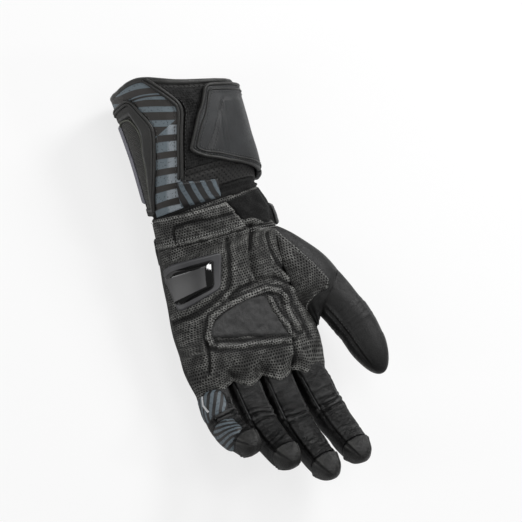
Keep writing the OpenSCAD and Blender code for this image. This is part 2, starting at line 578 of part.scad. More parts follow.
thumb_slope = 20;    // each wall leans this far from the thumb's middle joint
thumb_start = 24;    // the rigid tube starts this far before the middle joint
thumb_slant = -0.55; // and its first ring slants back on the outer side
function thumb_base_rings() =
    let (p = joints(THUMB), w = THUMB[3], f = axes(THUMB[1][0], THUMB[4]), g = bend_axes(THUMB))
    [ring(p[1] - f[0] * thumb_start, f, w[0], w[0] * 0.96, 0, thumb_slant),
     ring(p[1] - f[0] * 12, f, (w[0] + w[1]) / 2, w[0] * 0.96, 0, thumb_slant / 2),
     ring(p[1] - g[0] * joint_gap, g, w[1], w[1] * 0.96, -tan(thumb_slope))];
function thumb_tip_rings() =
    let (rings = tip_rings(THUMB), r = rings[0])
    concat([[r[0], r[1], r[2], r[3], r[4], w_depth(r), tan(thumb_slope), 0]], [for (k = [1:3]) rings[k]]);
function w_depth(r) = r[4] * 0.96;
module thumb_base() { solids(sewn_tube(thumb_base_rings()), black); }
module thumb_tip() { solids(sewn_tube(thumb_tip_rings()), black); }
module thumb_stretch() {
    base = thumb_base_rings();
    solid(limb_tube(fold_rings(base[2], thumb_tip_rings()[0]), -leather_t, 0), elastic_black);
}
// The web between the hole in the side of the hand and the thumb's first ring.
hole_clear = 1;
function hole_loop(d) =
    [for (j = [0:sides - 1]) let (a = j * 360 / sides)
        arm_point(hole_y + (hole_l - hole_clear) * cos(a), (hole_angle - hole_clear) * sin(a), d)];
module thumb_root() {
    last = moved(thumb_base_rings()[0], -gap);
    bulge = 4;
    function web(d) = [for (u = steps(6))
        [for (j = [0:sides - 1])
            lerp(hole_loop(d)[j], limb_loop(last, d)[j], u) + [bulge * sin(180 * u), bulge * sin(180 * u) * 0.6, 0]]];
    solid(plate(web(0), web(-leather_t), closed = true), black);
}

// ------------------------------------------------------------------ nodes

palm_panel();
back_panel();
hand_lining();
heel_patch();
slider_flange();
palm_slider();
palm_patch();
thenar_pad();
back_pads();
knuckle_foam();
knuckle_guard();
strap_loop();
wrist_strap();
strap_hook();
wrist_elastic();
cuff_palm();
cuff_stripes();
cuff_side();
cuff_back();
cuff_lining();
cuff_binding();
cuff_piping();
cuff_loop();
cuff_frame();
cuff_slider();
cuff_pads();
cuff_flap();
flap_hook();
flap_binding();
digit_root(INDEX);  // index_root
digit_base(INDEX);  // index_base
digit_plate(INDEX);  // index_plate
digit_stretch(INDEX);  // index_stretch
digit_tip(INDEX);  // index_tip
digit_cap(INDEX);  // index_cap
digit_root(MIDDLE);  // middle_root
digit_base(MIDDLE);  // middle_base
digit_plate(MIDDLE);  // middle_plate
digit_stretch(MIDDLE);  // middle_stretch
digit_tip(MIDDLE);  // middle_tip
digit_cap(MIDDLE);  // middle_cap
digit_root(RING);  // ring_root
digit_base(RING);  // ring_base
digit_plate(RING);  // ring_plate
digit_stretch(RING);  // ring_stretch
digit_tip(RING);  // ring_tip
digit_cap(RING);  // ring_cap
digit_root(LITTLE);  // little_root
digit_base(LITTLE);  // little_base
digit_plate(LITTLE);  // little_plate
digit_stretch(LITTLE);  // little_stretch
digit_tip(LITTLE);  // little_tip
digit_cap(LITTLE);  // little_cap
little_pad();
thumb_root();
thumb_base();
thumb_stretch();
thumb_tip();
digit_cap(THUMB);  // thumb_cap
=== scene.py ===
import bpy
import bmesh
import functools
import math
from mathutils import Matrix, Vector, noise


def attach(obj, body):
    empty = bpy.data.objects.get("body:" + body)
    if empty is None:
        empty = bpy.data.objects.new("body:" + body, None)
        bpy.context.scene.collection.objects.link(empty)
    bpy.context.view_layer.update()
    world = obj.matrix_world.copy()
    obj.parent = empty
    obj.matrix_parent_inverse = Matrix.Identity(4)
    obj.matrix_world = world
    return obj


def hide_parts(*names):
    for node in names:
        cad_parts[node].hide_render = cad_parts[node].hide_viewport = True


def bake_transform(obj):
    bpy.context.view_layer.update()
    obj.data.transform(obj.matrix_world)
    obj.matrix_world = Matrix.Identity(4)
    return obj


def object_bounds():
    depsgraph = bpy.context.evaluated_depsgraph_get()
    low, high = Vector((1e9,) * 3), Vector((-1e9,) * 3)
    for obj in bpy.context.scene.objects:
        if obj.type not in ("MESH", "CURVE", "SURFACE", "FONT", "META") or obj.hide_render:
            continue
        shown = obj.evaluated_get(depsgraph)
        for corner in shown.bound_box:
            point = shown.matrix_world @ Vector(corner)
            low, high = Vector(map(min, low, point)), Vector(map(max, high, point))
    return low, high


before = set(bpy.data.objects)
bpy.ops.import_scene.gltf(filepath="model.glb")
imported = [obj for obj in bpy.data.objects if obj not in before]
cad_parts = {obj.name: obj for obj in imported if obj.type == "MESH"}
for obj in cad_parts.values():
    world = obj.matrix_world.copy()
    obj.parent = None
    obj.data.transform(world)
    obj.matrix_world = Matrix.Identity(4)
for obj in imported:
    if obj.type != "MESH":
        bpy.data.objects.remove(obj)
cad_box = [list(corner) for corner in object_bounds()]
scene = bpy.context.scene
scene.view_settings.view_transform = "Standard"
MM = 0.001

# ---------------------------------------------------------------- table, lights and camera
# The glove lies on a pale table under a wide softbox, a smaller key lamp and a rim lamp,
# seen from above through a long lens, a little from the little finger's side.
camera_tilt = math.radians(25)
camera_roll = math.radians(20)
camera_far = 2.465
looks_at = Vector((0.0288, 0.0523, 0.030))


def principled(name):
    made = bpy.data.materials.new(name)
    made.use_nodes = True
    return made, made.node_tree, made.node_tree.nodes["Principled BSDF"]


def feed(tree, target, values):
    """Sets or links the inputs of a shader node. A node given as a value stands for its first output."""
    for key, value in values.items():
        value = value.outputs[0] if isinstance(value, bpy.types.Node) else value
        if isinstance(value, bpy.types.NodeSocket):
            tree.links.new(value, target.inputs[key])
        else:
            target.inputs[key].default_value = value


def node(tree, kind, inputs={}, **settings):
    made = tree.nodes.new("ShaderNode" + kind)
    for key, value in settings.items():
        setattr(made, key, value)
    feed(tree, made, inputs)
    return made


def maths(tree, operation, *values):
    return node(tree, "Math", dict(enumerate(values)), operation=operation)


def placed(bm, name, material):
    """Turns a bmesh into an object of the scene, smoothly shaded."""
    for face in bm.faces:
        face.smooth = True
    mesh = bpy.data.meshes.new(name)
    bm.to_mesh(mesh)
    bm.free()
    mesh.materials.append(material)
    made = bpy.data.objects.new(name, mesh)
    scene.collection.objects.link(made)
    return made


table_paint, tree, shader = principled("table_paint")
feed(tree, shader, {"Base Color": (0.86, 0.86, 0.86, 1), "Roughness": 0.9})
paper_white = node(tree, "Emission", {"Color": (1, 1, 1, 1), "Strength": 1.0})
camera_sees = node(tree, "LightPath").outputs["Is Camera Ray"]
mostly = maths(tree, "MULTIPLY", camera_sees, 0.75)
mixed = node(tree, "MixShader", {0: mostly, 1: shader, 2: paper_white})
feed(tree, tree.nodes["Material Output"], {"Surface": mixed})
bm = bmesh.new()
bmesh.ops.create_grid(bm, x_segments=8, y_segments=8, size=3.0)
table_top = placed(bm, "table_top", table_paint)
table_top.location.z = cad_box[0][2] - 0.0004

across = Vector((math.cos(camera_tilt), 0, math.sin(camera_tilt)))
right = across * math.cos(camera_roll) - Vector((0, 1, 0)) * math.sin(camera_roll)
up = across * math.sin(camera_roll) + Vector((0, 1, 0)) * math.cos(camera_roll)
back = right.cross(up)
lens = bpy.data.cameras.new("lens")
lens.lens = 250
lens.sensor_width = 36
lens.clip_end = 20
camera = bpy.data.objects.new("camera", lens)
scene.collection.objects.link(camera)
turned = Matrix((right, up, back)).transposed().to_4x4()
camera.matrix_world = Matrix.Translation(looks_at + back * camera_far) @ turned
scene.camera = camera

world = bpy.data.worlds.new("studio")
scene.world = world
world.use_nodes = True
feed(world.node_tree, world.node_tree.nodes["Background"], {"Color": (1, 1, 1, 1), "Strength": 0.17})


def softbox(name, place, aim, size, watts):
    lamp = bpy.data.lights.new(name, "AREA")
    lamp.shape = "RECTANGLE"
    lamp.size, lamp.size_y = size
    lamp.energy = watts
    held = bpy.data.objects.new(name, lamp)
    held.location = place
    held.rotation_euler = (Vector(aim) - Vector(place)).to_track_quat("-Z", "Y").to_euler()
    scene.collection.objects.link(held)


softbox("overhead", (0.15, 0.25, 1.5), (0, 0.03, 0), (0.9, 0.7), 6)
softbox("key", (0.80, 0.55, 0.80), (0.02, 0.04, 0.02), (0.4, 0.5), 10)
softbox("glint", (0.605, -0.265, 0.61), (-0.0174, 0.0608, 0.0502), (0.12, 0.12), 1.1)
softbox("edge", (-0.9, 0.2, 0.5), (0, 0.05, 0.03), (0.25, 0.8), 3)

# ---------------------------------------------------------------- cuff lining
# A knitted lining, sewn in at the mouth of the cuff and at the wrist. It is one soft tube
# between the rider's arm and the leather, cut from the same section as the cuff.
wrist_y, cuff_l = 103.0, 80.0
round_n = 2.4
# place along the arm, middle x, middle z, half width, half depth, slant
ARM = [
    (-26.0, 1.0, 23.0, 48.5, 14.06, -0.15),
    (-10.4, 1.5, 24.0, 50.6, 15.96, -0.11),
    (0.0, 2.0, 24.0, 51.0, 17.48, -0.08),
    (27.81, 2.0, 24.0, 49.0, 19.0, -0.04),
    (57.68, 3.0, 25.0, 45.0, 20.14, 0.0),
    (84.46, 4.0, 29.0, 42.0, 23.0, 0.0),
    (103.0, 4.0, 30.5, 39.0, 25.0, 0.0),
    (119.0, 5.0, 33.0, 39.5, 27.95, -0.04),
    (143.0, 5.5, 35.0, 38.5, 30.875, -0.11),
    (183.0, 6.5, 36.5, 40.0, 32.5, -0.22),
]


def lerp(a, b, t):
    return a + (b - a) * t


def clamp(x, low=0.0, high=1.0):
    return min(max(x, low), high)


def smooth(x):
    x = clamp(x)
    return x * x * (3 - 2 * x)


def signed_pow(x, p):
    return math.copysign(abs(x) ** p, x)


def cos_deg(angle):
    return math.cos(math.radians(angle))


def sin_deg(angle):
    return math.sin(math.radians(angle))


def swell(x, wide):
    """1 at x = 0, falling softly to nothing a few widths away."""
    return math.exp(-(x / wide) ** 2)


def arm_ring(y):
    k = 0
    while k < len(ARM) - 2 and y >= ARM[k + 1][0]:
        k += 1
    a, b, c, d = ARM[max(k - 1, 0)], ARM[k], ARM[k + 1], ARM[min(k + 2, len(ARM) - 1)]
    span = c[0] - b[0]
    t = clamp((y - b[0]) / span, -0.3, 1.1)
    ring = []
    for n in range(1, 6):
        slope_b = (c[n] - a[n]) / (c[0] - a[0]) * span
        slope_c = (d[n] - b[n]) / (d[0] - b[0]) * span
        ring.append((2 * t**3 - 3 * t * t + 1) * b[n] + (t**3 - 2 * t * t + t) * slope_b
                    + (3 * t * t - 2 * t**3) * c[n] + (t**3 - t * t) * slope_c)
    return ring


def arm_point(y, t, d, palm_lean=0.0, back_lean=0.0):
    mid_x, mid_z, a, b, slant = arm_ring(y)
    turn = math.radians(t)
    x = (a + d) * signed_pow(math.cos(turn), 2 / round_n)
    z = (b + d) * signed_pow(math.sin(turn), 2 / round_n)
    peak = 6 * clamp((y - wrist_y) / cuff_l) ** 4 * max(0.0, cos_deg(t - 138)) ** 6
    return Vector((mid_x + x, y + slant * x + max(z, 0) * palm_lean + max(-z, 0) * back_lean + peak,
                   mid_z + z))


def skin(name, across, along, place, material, closed=False, flip=False, thick=0.0, crest=None):
    """A sewn panel: a flat grid laid on the surface that place(u, v) gives in millimetres.
    Its UV map is its own flat size in metres, and crest says where it stands up and wears, and, below 0,
    where shade is painted on it."""
    bm = bmesh.new()
    bmesh.ops.create_grid(bm, x_segments=across, y_segments=along, size=0.5)
    cut = bm.loops.layers.uv.new("cut")
    # The crest layer: above 0 rubbed, below 0 painted shade.
    worn = bm.verts.layers.float.new("crest")
    spots = {v: (round((v.co.x + 0.5) * across), round((v.co.y + 0.5) * along)) for v in bm.verts}
    points = [[place(i / across, j / along) for i in range(across + 1)] for j in range(along + 1)]
    flat_u = []
    for row in points:
        run = [0.0]
        for p, q in zip(row, row[1:]):
            run.append(run[-1] + (q - p).length)
        flat_u.append([r - run[across // 2] for r in run])
    middle = [row[across // 2] for row in points]
    flat_v = [0.0]
    for p, q in zip(middle, middle[1:]):
        flat_v.append(flat_v[-1] + (q - p).length)
    for face in bm.faces:
        for loop in face.loops:
            i, j = spots[loop.vert]
            loop[cut].uv = (flat_u[j][i] * MM, flat_v[j] * MM)
    for v, (i, j) in spots.items():
        v.co = points[j][i] * MM
        v[worn] = crest(i / across, j / along) if crest else 0.0
    if closed:
        bmesh.ops.remove_doubles(bm, verts=bm.verts, dist=0.00002)
    if flip:
        bmesh.ops.reverse_faces(bm, faces=bm.faces)
    piece = placed(bm, name, material)
    if thick:
        wall = piece.modifiers.new("wall", "SOLIDIFY")
        wall.thickness = thick * MM
        wall.offset = -1
        wall.use_even_offset = False
    return piece


def arm_skin(name, across, along, spot, material, **rest):
    """A skin on the arm: spot(u, v) gives place, angle and depth."""
    return skin(name, across, along, lambda u, v: arm_point(*spot(u, v)), material, flip=True, **rest)


def group(name, inputs, outputs):
    """A shader effect: its inputs with their usual values, and the kinds of its outputs."""
    made = bpy.data.node_groups.new(name, "ShaderNodeTree")
    for label, value in inputs.items():
        kind = {3: "Vector", 4: "Color"}[len(value)] if isinstance(value, tuple) else "Float"
        socket = made.interface.new_socket(name=label, in_out="INPUT", socket_type="NodeSocket" + kind)
        socket.default_value = value
    for label, kind in outputs.items():
        made.interface.new_socket(name=label, in_out="OUTPUT", socket_type="NodeSocket" + kind)
    return made, made.nodes.new("NodeGroupInput").outputs, made.nodes.new("NodeGroupOutput")


def remap(tree, value, from_low=0, from_high=1, to_low=0, to_high=1):
    """Stretches a value from one range to another, held at both ends."""
    return node(tree, "MapRange", {0: value, 1: from_low, 2: from_high, 3: to_low, 4: to_high})


def blend(tree, share, low, high):
    """Goes from one colour to another by a share, each a colour or a socket."""
    low, high = ((*color, 1) if isinstance(color, tuple) else color for color in (low, high))
    return node(tree, "Mix", {"Factor": share, 6: low, 7: high}, data_type="RGBA").outputs[2]


def pattern(tree):
    """Where a point lies on the piece's own flat pattern, in metres."""
    return node(tree, "TexCoord").outputs["UV"]


# Knitted or fuzzy cloth: small loops in rows, with lint that varies over the surface.
knit, given, gives = group(
    "knit_cloth",
    {"Vector": (0, 0, 0), "Dark": (0, 0, 0, 1), "Light": (0, 0, 0, 1), "Scale": 700.0, "Depth": 0.3},
    {"Color": "Color", "Roughness": "Float", "Normal": "Vector"})
loops = node(knit, "TexVoronoi", {"Vector": given["Vector"], "Scale": given["Scale"], "Randomness": 0.45})
lint = node(knit, "TexNoise", {"Vector": given["Vector"], "Scale": 2600.0, "Detail": 3.0})
patches = node(knit, "TexNoise", {"Vector": given["Vector"], "Scale": 90.0, "Detail": 2.0})
height = maths(knit, "SUBTRACT", loops.outputs["Distance"], lint.outputs["Fac"])
tone = maths(knit, "ADD", height, patches.outputs["Fac"])
shade = remap(knit, tone, 0.05, 0.85)
tint = blend(knit, shade, given["Dark"], given["Light"])
rough = remap(knit, lint.outputs["Fac"], 0, 1, 0.75, 0.98)
raised = node(knit, "Bump", {"Height": height, "Strength": 1.0, "Distance": 0.0003})
feed(knit, raised, {"Strength": given["Depth"]})
feed(knit, gives, {"Color": tint, "Roughness": rough, "Normal": raised})


def finish_with(made, tree, shader, effect, **constants):
    """Takes colour, roughness and normal from an effect, and sets what stays constant."""
    feed(tree, shader, {"Base Color": effect.outputs["Color"], "Roughness": effect.outputs["Roughness"],
                        "Normal": effect.outputs["Normal"]})
    feed(tree, shader, {label.replace("_", " "): value for label, value in constants.items()})
    return made


def cloth(name, dark, light, scale, depth, sheen=0.2):
    made, tree, shader = principled(name)
    woven = node(tree, "Group", {"Vector": pattern(tree), "Dark": (*dark, 1), "Light": (*light, 1),
                                 "Scale": scale, "Depth": depth}, node_tree=knit)
    return finish_with(made, tree, shader, woven, Sheen_Weight=sheen, Sheen_Roughness=0.5,
                       Specular_IOR_Level=0.2)


def settle(piece, body, slot, *stands_for):
    """Fixes a finished piece to its body of the glove, or leaves it in place where it spans a joint, and
    hides the CAD parts it stands for. The slot, its finish, is not used.
    """
    if isinstance(body, str):
        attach(piece, body)
    else:
        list(body[:2])
        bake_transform(piece)
    if stands_for:
        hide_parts(*stands_for)


lining_cloth = cloth("lining_cloth", (0.010, 0.010, 0.011), (0.040, 0.040, 0.042), 900.0, 0.5)
cuff_first, cuff_last = 105.2, 179.75
wrist_lean = math.tan(math.radians(10))


def cuff_y(f):
    return lerp(cuff_first, cuff_last, f)


def cuff_spot(f, t, d):
    """Place, angle, depth and leans of a point of the cuff, where f runs from wrist to mouth."""
    lean = wrist_lean * max(0.0, 1 - f * 4)
    return cuff_y(f), t, d, lean, lean


def cuff_at(y, t, d):
    """The same for a place y along the arm."""
    return cuff_spot((y - cuff_first) / (cuff_last - cuff_first), t, d)


piece = arm_skin("cuff_lining_cloth", 96, 34,
                 lambda u, v: cuff_spot(lerp(-0.02, 1.02, v), 360 * u,
                                        -2.5 - 0.3 * math.sin(9 * v + 4 * u)),
                 lining_cloth, closed=True, thick=0.7)
settle(piece, "cuff", "lining", "cuff_lining")
piece = arm_skin("hand_lining_cloth", 96, 40,
                 lambda u, v: (lerp(-14, 100, v), 360 * u, -3.0 - 1.6 * (1 - smooth(v * 5)), 0, 0),
                 lining_cloth, closed=True, thick=0.7)
settle(piece, "hand", "lining", "hand_lining")

# ---------------------------------------------------------------- cuff leather
# The cuff is sewn from a perforated palm panel, a padded back panel and a leather frame round
# a ribbed mesh. Each is black leather about 2 mm thick, turned in and stitched at its edges.
leather, given, gives = group(
    "leather_skin",
    {"Vector": (0, 0, 0), "Color": (0, 0, 0, 1), "Rubbed": (0, 0, 0, 1), "Crest": 0.0, "Grain": 1300.0,
     "Depth": 0.4, "Gloss": 0.45},
    {"Color": "Color", "Roughness": "Float", "Normal": "Vector"})
pores = node(leather, "TexVoronoi", {"Vector": given["Vector"], "Scale": given["Grain"]},
             feature="DISTANCE_TO_EDGE")
pebble = remap(leather, pores.outputs["Distance"], 0, 0.3)
creases = node(leather, "TexNoise", {"Vector": given["Vector"], "Scale": 170.0, "Detail": 6.0,
                                     "Roughness": 0.65, "Distortion": 1.0})
wide = node(leather, "TexNoise", {"Vector": given["Vector"], "Scale": 45.0, "Detail": 3.0})
crumple = maths(leather, "MULTIPLY", creases.outputs["Fac"], 4.0)
height = maths(leather, "ADD", pebble, crumple)
grain_bump = node(leather, "Bump", {"Height": height, "Distance": 0.00014})
feed(leather, grain_bump, {"Strength": given["Depth"]})
rubbing = maths(leather, "MULTIPLY", given["Crest"], creases.outputs["Fac"])
rub = remap(leather, rubbing, 0.1, 0.55)
worn_color = blend(leather, rub, given["Color"], given["Rubbed"])
aged = remap(leather, wide.outputs["Fac"], 0.3, 0.75, 0.7, 1.3)
# Below 0 the crest paints shade into seams, dents and folds: the colour darkens to 0.12 of itself.
sunk = remap(leather, given["Crest"], -1.0, 0.0, 0.12, 1.0)
tone = maths(leather, "MULTIPLY", aged, sunk)
toned = node(leather, "VectorMath", {0: worn_color, "Scale": tone}, operation="SCALE")
pored = remap(leather, pebble, 0, 1, 0.14, 0.0)
drier = remap(leather, creases.outputs["Fac"], 0, 1, -0.12, 0.12)
rough = maths(leather, "ADD", given["Gloss"], pored)
rough = node(leather, "Math", {0: rough, 1: drier}, operation="ADD", use_clamp=True)
feed(leather, gives, {"Color": toned, "Roughness": rough, "Normal": grain_bump})


def crest_of(tree):
    """How far a point of the piece stands up and is rubbed, or, below 0, lies deep and is painted in
    shade.
    """
    return node(tree, "Attribute", attribute_name="crest").outputs["Fac"]


def hide(name, color, gloss=0.45, grain=1300.0, depth=0.5, rubbed=(0.09, 0.09, 0.09), shine=0.42):
    """Smooth leather, laid on a piece's own flat pattern."""
    made, tree, shader = principled(name)
    tanned = node(tree, "Group", {"Vector": pattern(tree), "Crest": crest_of(tree), "Color": (*color, 1),
                                  "Rubbed": (*rubbed, 1), "Grain": grain, "Depth": depth, "Gloss": gloss},
                  node_tree=leather)
    return finish_with(made, tree, shader, tanned, Specular_IOR_Level=shine), tree, shader, tanned


black_hide = hide("black_hide", (0.017, 0.017, 0.016), gloss=0.48)[0]
satin_hide = hide("satin_hide", (0.020, 0.0215, 0.023), gloss=0.40, grain=1500.0, depth=0.4,
                  shine=0.36)[0]


def perforated(name, pitch, hole):
    """Leather with staggered rows of punched holes, pitch and hole in metres."""
    made, tree, shader, tanned = hide(name, (0.0165, 0.016, 0.0155), gloss=0.6)
    spot = node(tree, "Mapping", {"Vector": pattern(tree), "Rotation": (0, 0, 0.78)})
    cells = node(tree, "TexVoronoi", {"Vector": spot, "Scale": 1 / pitch, "Randomness": 0.0})
    inside = remap(tree, cells.outputs["Distance"], hole / pitch * 0.8, hole / pitch * 1.3)
    # The holes are painted near black: painted shade inside them.
    dark = blend(tree, inside, (0.001, 0.001, 0.001), tanned.outputs["Color"])
    sunk = node(tree, "Bump", {"Height": inside, "Strength": 1.0, "Distance": 0.0008,
                               "Normal": tanned.outputs["Normal"]})
    feed(tree, shader, {"Base Color": dark, "Normal": sunk})
    return made


perforated_hide = perforated("perforated_hide", 0.0026, 0.0006)


def along_rows(rows, x):
    """A smooth line through given pairs, read at x."""
    if x <= rows[0][0]:
        return rows[0][1]
    for (x0, y0), (x1, y1) in zip(rows, rows[1:]):
        if x <= x1:
            return lerp(y0, y1, (x - x0) / (x1 - x0))
    return rows[-1][1]


# angles round the cuff of the two piped seams beside the stripes, at places along the arm
thumb_seam = [(104, 128), (123, 122.5), (140, 116), (152, 110), (160, 105.5), (164, 104.5), (168, 106),
              (176, 118), (184, 134)]
little_seam = [(104, 175), (109, 172), (132, 154), (148, 143.5), (153, 141), (157, 142), (170, 155),
               (175, 162), (184, 178)]
frame_width = [(104, 7), (113, 9), (132, 15), (142, 19), (157, 18), (169, 15), (184, 8)]
side_back, flap_side = 222, 330
per_degree = 0.62  # millimetres round the cuff


def waver(x, y, z):
    return noise.noise(Vector((x, y, z)))


def ripple(a, b, size):
    """Slow unevenness of hand-sewn leather, in millimetres."""
    return size * waver(a, b, 3.7)


def rim_gap(u, v, wide, tall):
    """Distance in millimetres to the nearest edge of a panel of that size."""
    return min(min(u, 1 - u) * wide, min(v, 1 - v) * tall)


def puff(edge, over):
    """A padded rise from 0 at the edge to 1, over that many millimetres."""
    return 1 - (1 - clamp(edge / over)) ** 2


def turned_in(u, v, wide, tall, fall=1.2, over=2.5):
    """How far a panel's edge falls below its middle, as it is folded under and stitched."""
    return fall * (puff(rim_gap(u, v, wide, tall), over) - 1)


piece = arm_skin("cuff_palm_leather", 110, 70,
                 lambda u, v: cuff_spot(v, lerp(-30, along_rows(thumb_seam, cuff_y(v)) + 1, u),
                                        ripple(u * 7, v * 5, 0.5) - 0.9 * swell(v * 74.5 - 15, 1.1)),
                 perforated_hide, thick=1.6)
settle(piece, "cuff", "perforated_leather", "cuff_palm")
piece = arm_skin("cuff_back_leather", 90, 60,
                 lambda u, v: cuff_spot(v, lerp(side_back - 1, flap_side, u),
                                        ripple(u * 6, v * 5 + 9, 0.4)),
                 black_hide, thick=1.6)
settle(piece, "cuff", "smooth_leather", "cuff_back")

ribbed_mesh, tree, shader = principled("ribbed_mesh")
spot = pattern(tree)
ribs = node(tree, "TexWave", {"Vector": spot, "Scale": 190.0, "Distortion": 1.2, "Detail": 1.0},
            bands_direction="X")
rungs = node(tree, "TexWave", {"Vector": spot, "Scale": 270.0, "Distortion": 0.8}, bands_direction="Y")
weave = maths(tree, "MULTIPLY", ribs.outputs["Fac"], rungs.outputs["Fac"])
tint = blend(tree, weave, (0.003, 0.003, 0.002), (0.055, 0.054, 0.044))
raised = node(tree, "Bump", {"Height": weave, "Strength": 0.9, "Distance": 0.0005})
feed(tree, shader, {"Base Color": tint, "Normal": raised, "Roughness": 0.85, "Sheen Weight": 0.15})
piece = arm_skin("cuff_side_mesh", 44, 60,
                 lambda u, v: cuff_spot(0.85 * v, lerp(along_rows(little_seam, cuff_y(0.85 * v)) + 3,
                                                       side_back + 1, u), 0.05),
                 ribbed_mesh, thick=1.4)
settle(piece, "cuff", "perforated_leather", "cuff_side")


def frame_spot(u, v):
    y = lerp(cuff_first, 172.5, v)
    start = along_rows(little_seam, y)
    t = lerp(start, side_back + 1, u)
    inside = min((t - start - along_rows(frame_width, y)) * per_degree, (210 - t) * per_degree,
                 165.5 - y, y - 110)
    return y, t, start, inside


def framed(u, v):
    y, t, start, inside = frame_spot(u, v)
    border = min((t - start) * per_degree, 172.5 - y)
    d = 1.55 - 2.3 * smooth((inside + 0.6) / 1.6) - 1.6 * (1 - clamp(border / 2.0)) ** 2
    return cuff_at(y, t, d + ripple(u * 5, v * 5, 0.25))


piece = arm_skin("cuff_side_frame", 80, 90, framed, black_hide, thick=1.2,
                 crest=lambda u, v: swell(frame_spot(u, v)[3] + 1.2, 0.8))
settle(piece, "cuff", "smooth_leather", "cuff_frame")


def strand(name, path, radius, material, closed=False, sides=10):
    """A round cord through a list of millimetre points, such as piping or a rolled edge."""
    count = len(path)
    frames = []
    normal = None
    for k, p in enumerate(path):
        ahead = path[(k + 1) % count] if closed or k + 1 < count else p
        behind = path[k - 1] if closed or k else p
        way = (ahead - behind).normalized()
        if normal is None:
            normal = way.orthogonal().normalized()
        normal = (normal - way * normal.dot(way)).normalized()
        frames.append((p, normal, way.cross(normal)))
    if closed:
        frames.append(frames[0])

    def place(u, v):
        p, a, b = frames[min(round(v * (len(frames) - 1)), len(frames) - 1)]
        turn = math.tau * u
        shrink = 1.0 if closed or 0 < v < 1 else 0.02
        return p + (a * math.cos(turn) + b * math.sin(turn)) * radius * shrink

    return skin(name, sides, len(frames) - 1, place, material, closed=True)


def evened(path, step):
    """The same line with points every step millimetres."""
    out = [path[0]]
    left = step
    for p, q in zip(path, path[1:]):
        span = (q - p).length
        at = left
        while at <= span:
            out.append(p.lerp(q, at / span))
            at += step
        left = at - span
    return out


def rounded(points, times=3):
    """Cuts the corners of a line a few times over, keeping its ends."""
    for _ in range(times):
        cut = [points[0]]
        for p, q in zip(points, points[1:]):
            cut += [p.lerp(q, 0.25), p.lerp(q, 0.75)]
        points = cut + [points[-1]]
    return points


def rounded_corner(u, v, wide, tall, corner):
    """Pulls the corners of a square patch in, so that its outline is rounded."""
    a, b = (u - 0.5) * wide, (v - 0.5) * tall
    ha, hb = wide / 2 - corner, tall / 2 - corner
    ea, eb = abs(a) - ha, abs(b) - hb
    if ea > 0 and eb > 0:
        far = math.hypot(ea, eb)
        shrink = max(ea, eb) / far
        a = math.copysign(ha + ea * shrink, a)
        b = math.copysign(hb + eb * shrink, b)
    return a / wide + 0.5, b / tall + 0.5


def on_cuff(pairs, d):
    """A rounded line on the cuff through (place, angle) pairs, d above the leather."""
    flat = rounded([Vector((y, t, 0)) for y, t in pairs])
    return [arm_point(*cuff_at(p.x, p.y, d)) for p in flat]


def seam_on_cuff(rows, first, last, d, shift=0.0):
    """A line on the cuff that follows an edge's angles, shift millimetres to its back side."""
    line = []
    for k in range(61):
        y = lerp(first, last, k / 60)
        a, b = arm_ring(y)[2:4]
        turn = math.degrees(shift / (0.5 * (a + b)))
        line.append(arm_point(*cuff_at(y, along_rows(rows, y) + turn, d)))
    return line


def join(pieces, name):
    """Makes one piece of several meshes of the same material."""
    bm = bmesh.new()
    for each in pieces:
        bm.from_mesh(each.data)
    made = placed(bm, name, pieces[0].data.materials[0])
    for each in pieces:
        bpy.data.objects.remove(each)
    return made


# ---------------------------------------------------------------- striped side panel
# A leather panel printed with grey bands on brown-black, mitred where it turns towards the
# mouth, with a reflective silver strip along its thumb side.
striped, tree, shader, tanned = hide("striped_hide", (0.024, 0.021, 0.019), gloss=0.42, depth=0.4)
coords = pattern(tree)
split = node(tree, "SeparateXYZ", {0: coords})
mitre = maths(tree, "MULTIPLY_ADD", split.outputs["X"], -0.62, -0.058)
mitre = maths(tree, "ADD", mitre, split.outputs["Y"])
above = maths(tree, "GREATER_THAN", mitre, 0.0)


def bands(rise, pitch, share, phase, bow):
    """A mask of slanted bands: rise is their slope, pitch in metres, share the printed part."""
    slant = maths(tree, "MULTIPLY", split.outputs["X"], -rise)
    curve = maths(tree, "MULTIPLY", split.outputs["X"], split.outputs["X"])
    curve = maths(tree, "MULTIPLY_ADD", curve, bow, phase)
    run = maths(tree, "ADD", split.outputs["Y"], slant)
    run = maths(tree, "ADD", run, curve)
    run = maths(tree, "MULTIPLY", run, 1 / pitch)
    part = maths(tree, "FRACT", run)
    off = maths(tree, "SUBTRACT", part, share / 2)
    off = maths(tree, "ABSOLUTE", off)
    return remap(tree, off, share / 2 + 0.03, share / 2 - 0.03)


stripes_left = [(y, t) for y, t in little_seam if y < 171] + [(171.5, 157), (174, 204), (184, 208)]
lower = bands(-0.13, 0.0112, 0.6, 0.002, 3.0)
upper = bands(-0.16, 0.0106, 0.42, 0.004, -4.0)
printed = node(tree, "Mix", {"Factor": above, 2: lower, 3: upper})
scuffs = node(tree, "TexNoise", {"Vector": coords, "Scale": 700.0, "Detail": 4.0})
scuffed = remap(tree, scuffs.outputs["Fac"], 0.28, 0.42)
ink = maths(tree, "MULTIPLY", printed, scuffed)
silver_edge = remap(tree, split.outputs["X"], 0.0005, 0.0025)
not_above = maths(tree, "SUBTRACT", 1.0, above)
silver = maths(tree, "MULTIPLY", silver_edge, not_above)
beads = node(tree, "TexVoronoi", {"Vector": coords, "Scale": 3200.0})
glint = remap(tree, beads.outputs["Distance"], 0, 0.7, 1.0, 0.35)
silver = maths(tree, "MULTIPLY", silver, glint)
paint = blend(tree, silver, (0.125, 0.158, 0.180), (0.36, 0.39, 0.42))
surface = blend(tree, ink, tanned.outputs["Color"], paint)
feed(tree, shader, {"Base Color": surface})
stripes_foot, insert_foot = 103.4, 101.5


def foot_lean(y, foot, over):
    """The cuff's lean, fading to none at the foot of a piece that runs below the cuff's edge."""
    return wrist_lean * clamp(1 - (y - cuff_first) / 18.6) * smooth((y - foot) / over)


